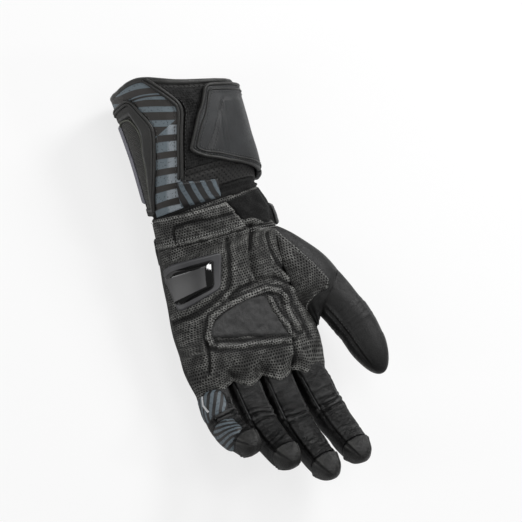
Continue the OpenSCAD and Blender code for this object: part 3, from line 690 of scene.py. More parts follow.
def stripe_spot(u, v):
    """The panel's foot goes on below the cuff's edge and is tucked under the heel band."""
    y = lerp(stripes_foot, cuff_last, v)
    lean = foot_lean(y, stripes_foot, 7)
    tucked = 1.0 - smooth((y - stripes_foot) / 6)
    t = lerp(along_rows(stripes_left, y), along_rows(thumb_seam, y), u)
    return y, t, 0.7 - tucked + ripple(u * 3, v * 6, 0.3), lean, lean


piece = arm_skin("cuff_striped_panel", 50, 94, stripe_spot, striped, thick=1.6)
piece.data.flip_normals()
settle(piece, "cuff", "striped_leather", "cuff_stripes")

# ---------------------------------------------------------------- piping of the cuff
# Both seams beside the stripes carry a stiff double piping of rolled leather, and a thin pale
# one runs inside the frame of the mesh.
piping_hide = hide("piping_hide", (0.018, 0.018, 0.017), gloss=0.38, grain=900.0,
                   rubbed=(0.11, 0.11, 0.11))[0]
olive_cord = hide("olive_cord", (0.10, 0.105, 0.085), gloss=0.5, grain=1800.0)[0]
turn_rows = [(y, t) for y, t in little_seam if y < 165] + [(166, 151.5), (171, 156), (173, 162),
                                                           (173, 176), (171, 206)]


def pipes(pairs, d, radius, apart):
    """A double cord along a line of (place, angle) pairs on the cuff."""
    middle = evened(on_cuff(pairs, d), 1.0)
    sides = []
    for k, p in enumerate(middle):
        way = (middle[min(k + 1, len(middle) - 1)] - middle[max(k - 1, 0)]).normalized()
        out = (p - Vector((arm_ring(p.y)[0], p.y, arm_ring(p.y)[1]))).normalized()
        sides.append(way.cross(out).normalized() * apart)
    return [strand("pipe", [p + side * by for p, side in zip(middle, sides)], radius, piping_hide)
            for by in (-1, 1)]


thumb_rows = [(y, t) for y, t in thumb_seam if y > 118]
piece = join(pipes([(119, 123.5)] + thumb_rows[:-1] + [(181.5, 131)], 1.4, 1.15, 1.05)
             + pipes([(107, 173.5)] + turn_rows[1:], 1.5, 1.0, 0.95), "cuff_double_piping")
settle(piece, "cuff", "smooth_leather", "cuff_piping")
frame_edge = [(y, along_rows(little_seam, y) + along_rows(frame_width, y) + 0.6)
              for y in range(110, 160, 5)]
piece = strand("cuff_frame_piping",
               evened(on_cuff(frame_edge + [(163, 168), (165, 178), (165, 196), (160, 207)], 0.75), 0.8),
               0.6, olive_cord)
settle(piece, "cuff", "smooth_leather")

# ---------------------------------------------------------------- mouth of the cuff
# The mouth is bound with a folded strip of leather, rolled over the edge and stitched below.
def rolled_rim(u, v):
    turn = math.tau * v
    bulge = math.cos(turn)
    return arm_point(180.6 + 2.1 * math.sin(turn), 360 * u, -1.2 + 2.1 * signed_pow(bulge, 0.9)
                     + 0.12 * math.sin(150 * u))


piece = skin("cuff_rolled_rim", 150, 12, rolled_rim, piping_hide, closed=True, flip=True,
             crest=lambda u, v: max(0, math.sin(math.tau * v)) * 0.6)
settle(piece, "cuff", "smooth_leather", "cuff_binding")


def stitches(name, paths, material, pitch=2.6, length=1.7, thick=0.5):
    """Rows of sewn stitches: a small flattened bead every pitch millimetres of each line."""
    bm = bmesh.new()
    for path in paths:
        line = evened(path, pitch)
        for p, q in zip(line, line[1:]):
            way = (q - p).normalized()
            turned = way.to_track_quat("X", "Z").to_matrix().to_4x4()
            sit = Matrix.Translation(p.lerp(q, 0.5) * MM) @ turned
            size = Matrix.Diagonal((length * MM / 2, thick * MM / 2, thick * MM / 2, 1))
            bmesh.ops.create_uvsphere(bm, u_segments=6, v_segments=4, radius=1.0, matrix=sit @ size)
    return placed(bm, name, material)


def twine(name, twists, dark, light, roughness):
    """Twisted sewing thread, with slanted strands along its beads."""
    made, tree, shader = principled(name)
    twist = node(tree, "TexWave", {"Vector": node(tree, "TexCoord").outputs["Object"], "Scale": twists,
                                   "Distortion": 2.0}, bands_direction="DIAGONAL")
    feed(tree, shader, {"Base Color": blend(tree, twist.outputs["Fac"], dark, light),
                        "Roughness": roughness})
    return made


thread = twine("sewing_thread", 1500.0, (0.02, 0.02, 0.02), (0.09, 0.09, 0.088), 0.6)
hem = [on_cuff([(177.2, t) for t in range(-10, 352, 6)], 0.5)]
for rows in (thumb_seam, little_seam):
    hem.append(seam_on_cuff(rows, 108, 176, 0.95, 3.4))
    hem.append(seam_on_cuff(rows, 108, 176, 0.95, -3.4))
piece = stitches("cuff_stitching", hem, thread)
settle(piece, "cuff", "smooth_leather")

# ---------------------------------------------------------------- striped insert
# A small printed insert closes the corner between the striped panel and the perforated palm
# side. Its grey bands run along the arm and lean a little.
def small_stripes(name, pitch, share, lean, along):
    """Printed leather with bands of one pitch; along is the axis that the bands follow."""
    made, tree, shader, tanned = hide(name, (0.014, 0.013, 0.013), gloss=0.4, depth=0.5)
    split = node(tree, "SeparateXYZ", {0: pattern(tree)})
    cross, run = ("X", "Y") if along == "Y" else ("Y", "X")
    slant = maths(tree, "MULTIPLY", split.outputs[run], lean)
    spot = maths(tree, "ADD", split.outputs[cross], slant)
    spot = maths(tree, "MULTIPLY", spot, 1 / pitch)
    part = maths(tree, "FRACT", spot)
    off = maths(tree, "SUBTRACT", part, 0.5)
    off = maths(tree, "ABSOLUTE", off)
    band = remap(tree, off, share / 2 - 0.03, share / 2 + 0.03, 1.0, 0.0)
    worn = node(tree, "TexNoise", {"Vector": pattern(tree), "Scale": 500.0, "Detail": 3.0})
    worn = remap(tree, worn.outputs["Fac"], 0.3, 0.5, 0.4, 1.0)
    ink = maths(tree, "MULTIPLY", band, worn)
    surface = blend(tree, ink, tanned.outputs["Color"], (0.10, 0.126, 0.145))
    feed(tree, shader, {"Base Color": surface})
    return made


insert_stripes = small_stripes("insert_stripes", 0.0078, 0.42, 0.35, "Y")


def insert_spot(u, v):
    y = lerp(lerp(103.2, insert_foot, u), lerp(119.5, 111.0, u), v)
    lean = foot_lean(y, insert_foot, 9)
    tucked = 1.2 * (1 - smooth((y - insert_foot) / 7))
    return y, lerp(130, 88, u), 1.6 - tucked + turned_in(u, v, 29, 15, 1.6, 1.8), lean, lean


piece = arm_skin("cuff_striped_insert", 40, 18, insert_spot, insert_stripes)
piece.data.flip_normals()
settle(piece, "cuff", "striped_leather")
piece = stitches("cuff_insert_stitching", [[arm_point(*insert_spot(k / 30, 0.86)) for k in range(31)]],
                 thread, pitch=2.0, length=1.2)
settle(piece, "cuff", "smooth_leather")

# ---------------------------------------------------------------- cuff slider
# A pale moulded strip guards the little finger side of the cuff, on its mesh.
pale_moulding, tree, shader = principled("pale_moulding")
spot = pattern(tree)
fine = node(tree, "TexNoise", {"Vector": spot, "Scale": 1500.0, "Detail": 3.0})
cloudy = node(tree, "TexNoise", {"Vector": spot, "Scale": 60.0, "Detail": 2.0})
tint = blend(tree, cloudy.outputs["Fac"], (0.150, 0.150, 0.185), (0.225, 0.225, 0.26))
rough = remap(tree, fine.outputs["Fac"], 0, 1, 0.3, 0.5)
raised = node(tree, "Bump", {"Height": fine.outputs["Fac"], "Strength": 0.2, "Distance": 0.0001})
feed(tree, shader, {"Base Color": tint, "Roughness": rough, "Normal": raised})
piece = arm_skin("cuff_side_slider", 16, 50,
                 lambda u, v: cuff_spot(lerp(0.1, 0.8, v), lerp(199, 209, u),
                                        2.6 + turned_in(u, v, 7, 52, 2.2, 2.4)),
                 pale_moulding, thick=1.0)
settle(piece, "cuff", "pale_plastic", "cuff_slider")

# ---------------------------------------------------------------- cuff fastener and flap
# A fuzzy loop field is sewn on the palm side, and a satin leather flap closes over it from the
# thumb side. The flap is edged with a double roll and has a sewn dart.
loop_field = cloth("loop_field", (0.001, 0.001, 0.001), (0.034, 0.034, 0.034), 620.0, 1.0, sheen=0.0)


def loop_spot(u, v):
    f = lerp(0.27, 0.965, v)
    t = lerp(22, along_rows(thumb_seam, cuff_y(f)) - 4, u)
    return cuff_spot(f, t, 1.0 + turned_in(u, v, 60, 50, 0.8, 1.5) + ripple(u * 60, v * 60, 0.25))


piece = arm_skin("cuff_loop_field", 60, 60, loop_spot, loop_field, thick=0.5)
settle(piece, "cuff", "fastener", "cuff_loop")
flap_top, flap_w, flap_l = 178.2, 120, 45


def flap_start(t):
    return lerp(cuff_first + 0.4, cuff_y(0.415), clamp(t / 107) ** 1.8)


def flap_spot(u, v, d):
    t = lerp(-50, lerp(107.5, 82, v), u)
    y = lerp(flap_start(t), flap_top, v)
    return cuff_at(y, t, d)


def on_flap(pairs, d):
    flat = rounded([Vector((u, v, 0)) for u, v in pairs])
    return [arm_point(*flap_spot(p.x, p.y, d)) for p in flat]


dart = [(0.66, 0.845), (0.78, 0.835), (0.865, 0.82), (0.885, 0.76), (0.905, 0.40), (0.915, 0.06)]
dart_line = rounded([Vector((u * flap_w, v * flap_l, 0)) for u, v in dart])
fold_line = rounded([Vector((u * flap_w, v * flap_l, 0))
                     for u, v in ((0.878, 0.74), (0.87, 0.55), (0.85, 0.3), (0.83, 0.1))])


def near_line(line, u, v):
    here = Vector((u * flap_w, v * flap_l, 0))
    return min((here - p).length for p in line)


def flap_face(u, v):
    sewn = near_line(dart_line, u, v) if u > 0.5 else 9
    crease = near_line(fold_line, u, v) if u > 0.7 else 9
    edge = turned_in(u, v, flap_w, flap_l, 1.3, 3.0)
    u, v = rounded_corner(u, v, flap_w, flap_l, 4.5)
    return flap_spot(u, v, 4.3 + edge - (0.3 + 0.45 * clamp((0.84 - v) / 0.1)) * swell(sewn, 0.9)
                     - 0.5 * swell(crease, 0.9) + 0.35 * swell(crease - 2.4, 1.6)
                     + ripple(u * 8, v * 4, 0.35))


piece = arm_skin("cuff_flap_leather", 150, 56, flap_face, satin_hide, thick=1.9,
                 crest=lambda u, v: 0.35 if near_line(dart_line, u, v) < 2.2 else 0.0)
settle(piece, "flap", "smooth_leather", "cuff_flap")


def flap_rim(inset, d):
    """A line round the flap, inset millimetres from its edge, with rounded corners."""
    w, h = flap_w, flap_l
    corners = [(w / 2, 0), (w - 10, 0), (w, 0), (w, 6), (w, h - 6), (w, h), (w - 10, h), (w / 2, h),
               (8, h), (0, h), (0, 22), (0, 0), (8, 0), (w / 2, 0)]
    middle = Vector((w / 2, h / 2, 0))
    shrunk = Matrix.Diagonal((1 - inset / middle.x, 1 - inset / middle.y, 1))
    flat = rounded([middle + shrunk @ (Vector((x, y, 0)) - middle) for x, y in corners])
    return [arm_point(*flap_spot(p.x / flap_w, p.y / flap_l, d)) for p in evened(flat, 1.0)]


piece = join([strand("roll", evened(flap_rim(0.6, 3.7), 1.0), 1.2, piping_hide),
              strand("roll_in", evened(flap_rim(3.4, 4.4), 1.0), 0.65, piping_hide)],
             "cuff_flap_rolled_edge")
settle(piece, "flap", "smooth_leather", "flap_binding")
dart_rows = [on_flap([(u + by, v) for u, v in dart[2:]], 4.45) for by in (-0.011, 0.011)]
piece = stitches("cuff_flap_stitching", dart_rows + [flap_rim(5.0, 4.55), flap_rim(2.1, 4.35)], thread,
                 pitch=2.2, length=1.3)
settle(piece, "flap", "smooth_leather")
hook_field = cloth("hook_field", (0.006, 0.006, 0.006), (0.03, 0.03, 0.03), 950.0, 1.0, sheen=0.0)
piece = arm_skin("cuff_flap_hooks", 30, 30,
                 lambda u, v: flap_spot(lerp(0.66, 0.95, u), lerp(0.12, 0.88, v), 3.0), hook_field,
                 thick=1.8)
settle(piece, "flap", "fastener", "flap_hook")

# ---------------------------------------------------------------- wrist
# A knitted elastic panel wraps the wrist between the cuff and the heel of the palm. It gathers
# in folds, so that the cuff can tilt on the hand.
wrist_knit = cloth("wrist_knit", (0.001, 0.001, 0.001), (0.014, 0.014, 0.014), 620.0, 1.0, sheen=0.03)


def wrist_fold(u, v):
    lean = lerp(-1.3, 1.0, v) * wrist_lean
    return arm_point(lerp(97.0, 107.5, v), 360 * u, -0.9 + 0.7 * math.cos(7.5 * math.pi * v)
                     + ripple(u * 30, v * 3, 0.8)
                     - 1.8 * (1 - smooth((v - 0.3) / 0.15)), lean, lean)


piece = skin("wrist_elastic_knit", 120, 26, wrist_fold, wrist_knit, closed=True, flip=True, thick=1.0)
settle(piece, ("hand", "cuff", Vector((4, 99, 30)), Vector((4, 107, 30))), "stretch", "wrist_elastic")
knit_low = [(-40, 73), (18, 73), (45, 75.5), (80, 79.5), (120, 80)]


def knit_spot(u, v):
    left = lerp(75, 87, v)
    t = lerp(-30, left, u)
    y = lerp(along_rows(knit_low, t), 101.6, v)
    return y, t, 0.8 + turned_in(u, v, 60, 26, 1.4, 1.6) + ripple(u * 9, v * 4, 1.2), -0.15 * v, -0.15 * v


piece = arm_skin("wrist_knit_panel", 70, 26, knit_spot, wrist_knit, thick=0.8)
settle(piece, "hand", "stretch")

# ---------------------------------------------------------------- palm
# The palm is one piece of net-embossed grip leather, quilted over thin foam into long puffed
# ridges. Its front edge ends in a lobe over the root of each finger.
grip, given, gives = group(
    "net_grip",
    {"Vector": (0, 0, 0), "Crest": 0.0, "Pitch": 540.0},
    {"Color": "Color", "Roughness": "Float", "Height": "Float"})
sway = node(grip, "TexNoise", {"Vector": given["Vector"], "Scale": 60.0, "Detail": 2.0})
shifted = node(grip, "VectorMath", {0: sway.outputs["Color"], 1: (0.0032, 0.0032, 0.0)},
               operation="MULTIPLY")
swayed = node(grip, "VectorMath", {0: given["Vector"], 1: shifted}, operation="ADD")
scaled = node(grip, "VectorMath", {0: swayed, "Scale": given["Pitch"]}, operation="SCALE")
split = node(grip, "SeparateXYZ", {0: scaled})
up_rows = maths(grip, "MULTIPLY", split.outputs["Y"], 1.15)
row = maths(grip, "FLOOR", up_rows)
half_step = maths(grip, "MULTIPLY", row, 0.5)
over = maths(grip, "ADD", split.outputs["X"], half_step)
column = maths(grip, "FLOOR", over)
from_x = maths(grip, "SUBTRACT", over, column)
from_y = maths(grip, "SUBTRACT", up_rows, row)
local = node(grip, "CombineXYZ", {0: from_x, 1: from_y})
cell = node(grip, "CombineXYZ", {0: column, 1: row})
chance = node(grip, "TexWhiteNoise", {"Vector": cell}, noise_dimensions="3D")
away = node(grip, "VectorMath", {0: local, 1: (0.5, 0.5, 0.0)}, operation="DISTANCE")
edge = remap(grip, chance.outputs["Value"], 0, 1, 0.16, 0.28)
fade = maths(grip, "ADD", edge, 0.17)
ring = node(grip, "MapRange", {"Value": away.outputs["Value"], "From Min": edge, "From Max": fade},
            interpolation_type="SMOOTHSTEP")
spread = node(grip, "TexNoise", {"Vector": given["Vector"], "Scale": 90.0, "Detail": 4.0})
# Pale specks on the ridges of the net, more of them where the crest is high: partly wear and partly
# painted highlight.
painted_highlight_and_wear = remap(grip, spread.outputs["Fac"], 0.4, 0.65, 0.10, 0.62)
painted_highlight_and_wear = node(grip, "Math", {0: painted_highlight_and_wear, 1: given["Crest"]}, operation="ADD", use_clamp=True)
speck = maths(grip, "MULTIPLY", painted_highlight_and_wear, chance.outputs["Value"])
white = maths(grip, "MULTIPLY", ring, speck)
# The pits of the net are painted near black as shade, and its ridges dark grey.
base = blend(grip, ring, (0.0015, 0.0015, 0.0014), (0.0135, 0.0133, 0.0126))
lit = blend(grip, white, base, (0.30, 0.30, 0.285))
# Below 0 the crest paints shade into the seams: the colour darkens to 0.12.
sunk = remap(grip, given["Crest"], -1.0, 0.0, 0.12, 1.0)
toned = node(grip, "VectorMath", {0: lit, "Scale": sunk}, operation="SCALE")
rough = remap(grip, ring, 0, 1, 0.95, 0.6)
feed(grip, gives, {"Color": toned, "Roughness": rough, "Height": ring})


def grip_hide(name, pitch):
    made, tree, shader = principled(name)
    net = node(tree, "Group", {"Vector": pattern(tree), "Crest": crest_of(tree), "Pitch": pitch},
               node_tree=grip)
    raised = node(tree, "Bump", {"Height": net.outputs["Height"], "Strength": 0.8, "Distance": 0.0003})
    feed(tree, shader, {"Base Color": net.outputs["Color"], "Roughness": net.outputs["Roughness"],
                        "Normal": raised, "Specular IOR Level": 0.35})
    return made


palm_grip = grip_hide("palm_grip", 500.0)
hole_y, hole_l, hole_t = 38.0, 34.0, 38.0
hand_first, hand_last = -23.6, 100.8
palm_l = hand_last - hand_first
hand_lean = math.tan(math.radians(14))
valleys = (24.2, -0.4, -24.5)


def hole_edge(y):
    k = (y - hole_y) / hole_l
    return hole_t * math.sqrt(1 - k * k) if abs(k) < 1 else 0.0


def near_path(points, x, y):
    """Distance from a plan place to a line of plan points."""
    best = 99.0
    for (ax, ay), (bx, by) in zip(points, points[1:]):
        k = clamp(((x - ax) * (bx - ax) + (y - ay) * (by - ay)) / ((bx - ax) ** 2 + (by - ay) ** 2))
        best = min(best, math.hypot(x - ax - k * (bx - ax), y - ay - k * (by - ay)))
    return best


# quilting seams in plan: line, depth and half width, all in millimetres
quilting = [
    ([(22, 77), (19, 68), (16, 59), (14.5, 50), (15, 42)], 1.7, 1.5),
    ([(-40, 84), (-16, 81), (8, 78.5), (21, 77), (47, 71)], 1.0, 1.2),
    ([(-49, 33), (-33, 33.5), (-21, 37), (-8, 42), (-3, 50), (0, 62), (2, 74)], 1.1, 1.6),
    ([(-9, 36), (2, 39.5), (16, 40.5), (31, 38), (44, 28)], 1.3, 1.5),
    ([(-33, 13), (-35, 4), (-38.5, -8)], 0.9, 1.0),
    ([(29, 4), (27, -8), (24.5, -26)], 1.3, 1.2),
    ([(34, 68), (33, 58), (36, 47), (43, 38)], 0.9, 1.6),
    ([(36, 30), (36.5, 18), (40, 4), (41, -8)], 0.7, 1.6),
]
# raised stitched borders round the smooth patch
welts = [
    ([(-30.5, 10.5), (-31, 17), (-25, 27.5), (-12, 31.5), (6, 33), (19, 33.5), (29, 29), (31.5, 22)], 1.3,
     1.5),
    ([(19.5, 27.5), (21, 17), (26.5, 4), (28, -3)], 1.2, 1.3),
    ([(31.5, 25), (31, 12), (34.5, 0)], 1.1, 1.4),
    ([(-28, 8.5), (-12, 3.5), (6, -0.5), (25, -5)], 0.8, 1.3),
]


@functools.lru_cache(maxsize=None)
def palm_lines(x, y):
    """Distances to the quilting seams and to the welts."""
    return [[near_path(line, x, y) for line, _, _ in sewn] for sewn in (quilting, welts)]


def palm_relief(x, y):
    height = 0.8 * waver(x / 16, y / 16, 1.3) + 0.25 * waver(x / 5, y / 5, 7.1)
    seams, ridges = palm_lines(x, y)
    for away, (_, depth, wide) in zip(seams, quilting):
        height -= 1.15 * depth * (swell(away, wide) - 0.45 * swell(away - 2.6 * wide, 1.5 * wide))
    for away, (_, tall, wide) in zip(ridges, welts):
        height += tall * (0.9 * swell(away, 0.85 * wide) - 0.4 * swell(away - 2.2 * wide, 0.7 * wide))
    return height


def palm_wear_and_painted_shade(x, y):
    """Above 0 where the welts are rubbed and the puffs stand up, which brings out the painted highlight
    specks of the grip; below 0 where a seam's groove is painted in shade.
    """
    seams, ridges = palm_lines(x, y)
    rubbed = max(swell(away, 1.5) for away in ridges)
    puffed = max(swell(away - 2.4 * wide, 1.2 * wide) for away, (_, _, wide) in zip(seams, quilting))
    # The grooves of the seams and the foot of the welts are painted in shade.
    dark = max(max(swell(away, 0.8 * wide) for away, (_, _, wide) in zip(seams, quilting)),
               max(swell(away - 3.1, 0.9) for away in ridges))
    return 0.7 * rubbed + 0.3 * puffed - 0.9 * dark


def lobes(x):
    """1 over the middle of a finger and outside the outer ones, 0 between two fingers."""
    away = min(abs(x - v) for v in valleys)
    return clamp(away / 10.5) ** 0.8


def hand_spot(u, v, side):
    """A place on the palm (side 1) or on the back (side -1), from the finger edge to the wrist."""
    row = lerp(hand_first, hand_last, v)
    t0 = hole_edge(row)
    t = lerp(t0, 180, u)
    x = arm_point(row, side * t, 0).x
    wave = smooth(clamp(1 - v * palm_l / 16))
    y = row - wave * (7.0 * lobes(x) - 1.0)
    fall = 1.6 + 5.0 * (1 - lobes(x)) ** 1.5
    dip = smooth(clamp(1 - v * palm_l / 11)) * fall * clamp(1.4 - abs(cos_deg(t)))
    return y, side * t, -dip, hand_lean * smooth(1 - v * 6)


def palm_spot(u, v):
    y, t, d, lean = hand_spot(u, v, 1)
    p = arm_point(y, t, 0)
    covered = smooth((y - along_rows(knit_low, t) - 2) / 5) * smooth((84 - t) / 6)
    d = d + palm_relief(p.x, p.y) * (1 - covered) - covered - 1.2 * (1 - smooth(u * 30))
    return y, t, d, lean, lean


def palm_crest(u, v):
    y, t, _, _ = hand_spot(u, v, 1)
    p = arm_point(y, t, 0)
    return palm_wear_and_painted_shade(p.x, p.y) + 0.8 * swell(v * palm_l - 1.5, 1.5)


piece = arm_skin("palm_grip_leather", 190, 190, palm_spot, palm_grip, thick=1.7, crest=palm_crest)
settle(piece, "hand", "textured_leather", "palm_panel")


def on_plan(x, y, d, side=1):
    """The place over plan point x, y: on the palm for side 1, on the back for side -1."""
    where = y
    for _ in range(3):
        mid_x, _, half_w, _, slant = arm_ring(where)
        where = y - slant * (x - mid_x)
    mid_x, _, half_w, _, slant = arm_ring(where)
    t = math.degrees(math.acos(clamp(signed_pow((x - mid_x) / half_w, round_n / 2), -1, 1)))
    return arm_point(where, side * t, d)


def between(rows, u, v):
    """A plan place inside a four-cornered outline given as two rows of two points."""
    (a, b), (c, e) = rows
    return [lerp(lerp(a[k], b[k], u), lerp(c[k], e[k], u), v) for k in (0, 1)]


def on_rows(rows, u, v):
    """A plan place on a patch whose two edges are given row by row."""
    k = min(int(v * (len(rows) - 1)), len(rows) - 2)
    return between([rows[k], rows[k + 1]], u, v * (len(rows) - 1) - k)


# ---------------------------------------------------------------- heel band
# A padded band of the same grip leather crosses the heel of the hand, with a raised left border
# and a double row of stitches along its lower seam.
heel_w, heel_l = 76, 22
heel_line = rounded([Vector(p) for p in ((27, 0, 0), (28, 11, 0), (31, 14, 0), (44, 14.5, 0), (58, 13, 0),
                                         (76, 12, 0))])


def heel_spot(u, v):
    """A place on the heel band, with its distances to the edge and to its inner seam."""
    y = lerp(lerp(81.5, 103.6, v), lerp(75.5, 98.5, v), smooth(u) * 0.5 + u * 0.5)
    here = Vector((u * heel_w, v * heel_l, 0))
    inner = min((here - p).length for p in heel_line)
    return y, lerp(181, lerp(74, 86, v), u), rim_gap(u, v, heel_w, heel_l), inner


def heel_place(u, v):
    y, t, edge, inner = heel_spot(u, v)
    full = 2.9 * puff(edge, 3.0)
    return arm_point(y, t, full - 0.2 - 1.1 * swell(inner, 1.2) + 0.4 * swell(inner - 3, 1.5)
                     + ripple(u * 10, v * 4, 0.6))


def heel_wear_and_painted_shade(u, v):
    _, _, edge, inner = heel_spot(u, v)
    # Rubbed on the raised border; the groove of the inner seam and the band's outer edge are painted in
    # shade.
    return 0.9 * swell(edge - 2.0, 1.1) - 0.9 * swell(inner, 1.1) - swell(edge, 0.7)


piece = skin("heel_band", 130, 44, heel_place, palm_grip, thick=1.5, crest=heel_wear_and_painted_shade)
settle(piece, "hand", "textured_leather", "heel_patch")
pale_thread = twine("pale_thread", 1400.0, (0.14, 0.14, 0.136), (0.40, 0.40, 0.39), 0.65)


def on_palm(pairs, d):
    flat = rounded([Vector((x, y, 0)) for x, y in pairs], 2)
    flat = evened(flat, 1.0)
    return [on_plan(p.x, p.y, d + palm_relief(p.x, p.y)) for p in flat]


def beside(pairs, by):
    """The same plan line moved sideways by that many millimetres."""
    out = []
    for k, (x, y) in enumerate(pairs):
        ax, ay = pairs[max(k - 1, 0)]
        bx, by_ = pairs[min(k + 1, len(pairs) - 1)]
        run = math.hypot(bx - ax, by_ - ay)
        out.append((x - (by_ - ay) / run * by, y + (bx - ax) / run * by))
    return out


rows_sewn = [on_palm(beside(line, by), 0.45) for line, _, _ in welts[:3] for by in (-1.0, 1.0)]
rows_sewn.append(on_palm(welts[3][0], 0.3))
for v, by in ((0.12, 0.0), (0.12, 1.7), (0.9, 0.0)):
    spots = [heel_spot(k / 70, v) for k in range(71)]
    rows_sewn.append([arm_point(y + by, t, 2.9) for y, t, _, _ in spots])
rows_sewn += [evened([arm_point(lerp(75.2, 72.0, k / 30) + by, lerp(72, 14, k / 30), 0.75)
                      for k in range(31)], 1.0) for by in (0.0, -1.7)]
piece = stitches("palm_stitching", rows_sewn, pale_thread, pitch=2.0, length=1.1, thick=0.62)
settle(piece, "hand", "textured_leather")

# ---------------------------------------------------------------- palm slider
# A hard slider on the little finger side of the heel: a satin flange, sewn to the palm, and a
# moulded black dome with glossy flanks and a flat satin top.
slider_rows = [[(-43, 38), (-12, 44)], [(-41, 71), (-4, 67)]]
satin_flange, tree, shader = principled("satin_flange")
spot = pattern(tree)
fine = node(tree, "TexNoise", {"Vector": spot, "Scale": 2200.0, "Detail": 3.0})
brushed = node(tree, "TexNoise", {"Vector": spot, "Scale": 90.0, "Detail": 5.0})
tint = blend(tree, brushed.outputs["Fac"], (0.036, 0.036, 0.039), (0.062, 0.062, 0.066))
rough = remap(tree, brushed.outputs["Fac"], 0, 1, 0.34, 0.55)
raised = node(tree, "Bump", {"Height": fine.outputs["Fac"], "Strength": 0.25, "Distance": 0.0001})
feed(tree, shader, {"Base Color": tint, "Roughness": rough, "Normal": raised})


def flange_place(u, v):
    edge = min(u, 1 - u, v, 1 - v) * 32
    u, v = rounded_corner(u, v, 33, 31, 4.0)
    x, y = between(slider_rows, u, v)
    return on_plan(x, y, 0.2 + 1.5 * puff(edge, 1.2))


piece = skin("palm_slider_flange", 48, 48, flange_place, satin_flange, thick=1.2)
settle(piece, "hand", "flange_plastic", "slider_flange")
gloss_shell, tree, shader = principled("gloss_shell")
spot = pattern(tree)
flat_top = crest_of(tree)
swirl = node(tree, "TexNoise", {"Vector": spot, "Scale": 120.0, "Detail": 6.0})
hairline = node(tree, "TexNoise", {"Vector": spot, "Scale": 1800.0, "Detail": 2.0})
satin = remap(tree, swirl.outputs["Fac"], 0, 1, 0.36, 0.5)
rough = node(tree, "Mix", {"Factor": flat_top, 2: 0.05, 3: satin})
tint = blend(tree, flat_top, (0.004, 0.004, 0.004), (0.046, 0.046, 0.047))
speck = remap(tree, swirl.outputs["Fac"], 0, 1, 0.8, 1.2)
spotted = node(tree, "VectorMath", {0: tint, "Scale": speck}, operation="SCALE")
raised = node(tree, "Bump", {"Height": hairline.outputs["Fac"], "Strength": 0.08, "Distance": 0.0001})
feed(tree, shader, {"Base Color": spotted, "Roughness": rough, "Normal": raised,
                    "Specular IOR Level": 0.6})
slider_low, slider_high = 1.9, 7.1


def dome_place(u, v):
    uu, vv = rounded_corner(u, v, 27, 23, 3.5)
    x, y = between(slider_rows, lerp(0.02, 0.84, uu), lerp(0.12, 0.87, vv))
    rise = 1 - (1 - clamp(min(v, 1 - v) / 0.19)) ** 2.2
    fall = lerp(0.12, 0.36, v)
    rise = min(rise, (1 - fall) * clamp((1 - u) / 0.07) ** 0.6 + fall * clamp((0.93 - u) / 0.14))
    top = lerp(3.6, slider_high, smooth(u / 0.75))
    return on_plan(x, y, lerp(slider_low - 0.6, top, rise * smooth(u / 0.03)))


def dome_top(u, v):
    return smooth((min(0.96 - u, v, 1 - v) - 0.165) / 0.02)


piece = skin("palm_slider_dome", 96, 72, dome_place, gloss_shell, thick=1.2, crest=dome_top)
settle(piece, "hand", "slider_plastic", "palm_slider")

# ---------------------------------------------------------------- palm patches
# A smooth triangular patch takes the wear of the bar grip in the middle of the palm, and a small
# pad under the grip leather fills the ball of the thumb.
patch_hide = hide("patch_hide", (0.029, 0.029, 0.029), gloss=0.5, grain=1100.0, depth=0.8,
                  rubbed=(0.10, 0.10, 0.10))[0]
patch_rows = [[(-30, 15), (26, -2.5)], [(-29, 20), (24, 3)], [(-26, 24), (21.5, 10)],
              [(-17, 28), (19, 18)], [(-4, 30.5), (17.5, 26.5)], [(6, 31), (14, 30.5)]]


def patch_place(u, v):
    x, y = on_rows(patch_rows, u, v)
    edge = rim_gap(u, v, 50, 26)
    return on_plan(x, y, -0.4 + 1.5 * puff(edge, 3.0) + ripple(x / 7, y / 5, 0.8)
                   + ripple(x / 2.2, y / 3, 0.3))


piece = skin("palm_patch_leather", 90, 60, patch_place, patch_hide, thick=1.2)
settle(piece, "hand", "smooth_leather", "palm_patch")
thenar_rows = [[(16, 35), (27, 33)], [(12, 42), (32, 41)], [(11, 50), (33, 50)], [(12, 57), (32, 58)],
               [(15, 63), (29, 65)]]


def thenar_place(u, v):
    x, y = on_rows(thenar_rows, u, v)
    edge = rim_gap(u, v, 20, 30)
    return on_plan(x, y, palm_relief(x, y) - 0.9 + 1.8 * puff(edge, 8.0))


piece = skin("thenar_puff", 40, 50, thenar_place, palm_grip, thick=1.0)
settle(piece, "hand", "textured_leather", "thenar_pad")

# ---------------------------------------------------------------- wrist strap
# A narrow leather strap leaves the thumb side of the wrist and closes across the back of the
# hand on a fuzzy field. Its end is rolled and pale where it is rubbed.
def strap_spot(u, v, d):
    return lerp(72, lerp(86, 91, smooth(u * 4)), v), lerp(21, -140, u), d, 0, 0


piece = skin("wrist_strap_leather", 110, 14,
             lambda u, v: arm_point(*strap_spot(u, v, lerp(3.4, 4.9, smooth(u * 5))
                                                + turned_in(u, v, 130, 18, 1.4, 1.6)
                                                + 0.25 * math.exp(-((v - 0.5) * 5) ** 2))),
             satin_hide, thick=1.9,
             crest=lambda u, v: 1.0 if min(u * 130, v * 18, (1 - v) * 18) < 2.2 else 0.0)
settle(piece, "strap", "smooth_leather", "wrist_strap")
piece = stitches("wrist_strap_stitching",
                 [[arm_point(*strap_spot(k / 80, v, lerp(3.4, 4.9, smooth(k / 16))))
                   for k in range(2, 79)] for v in (0.16, 0.84)], thread)
settle(piece, "strap", "smooth_leather")
piece = skin("wrist_strap_hooks", 24, 12,
             lambda u, v: arm_point(lerp(76, 90, v), lerp(-104, -137, u), 3.0), hook_field, thick=0.9)
settle(piece, "strap", "fastener", "strap_hook")
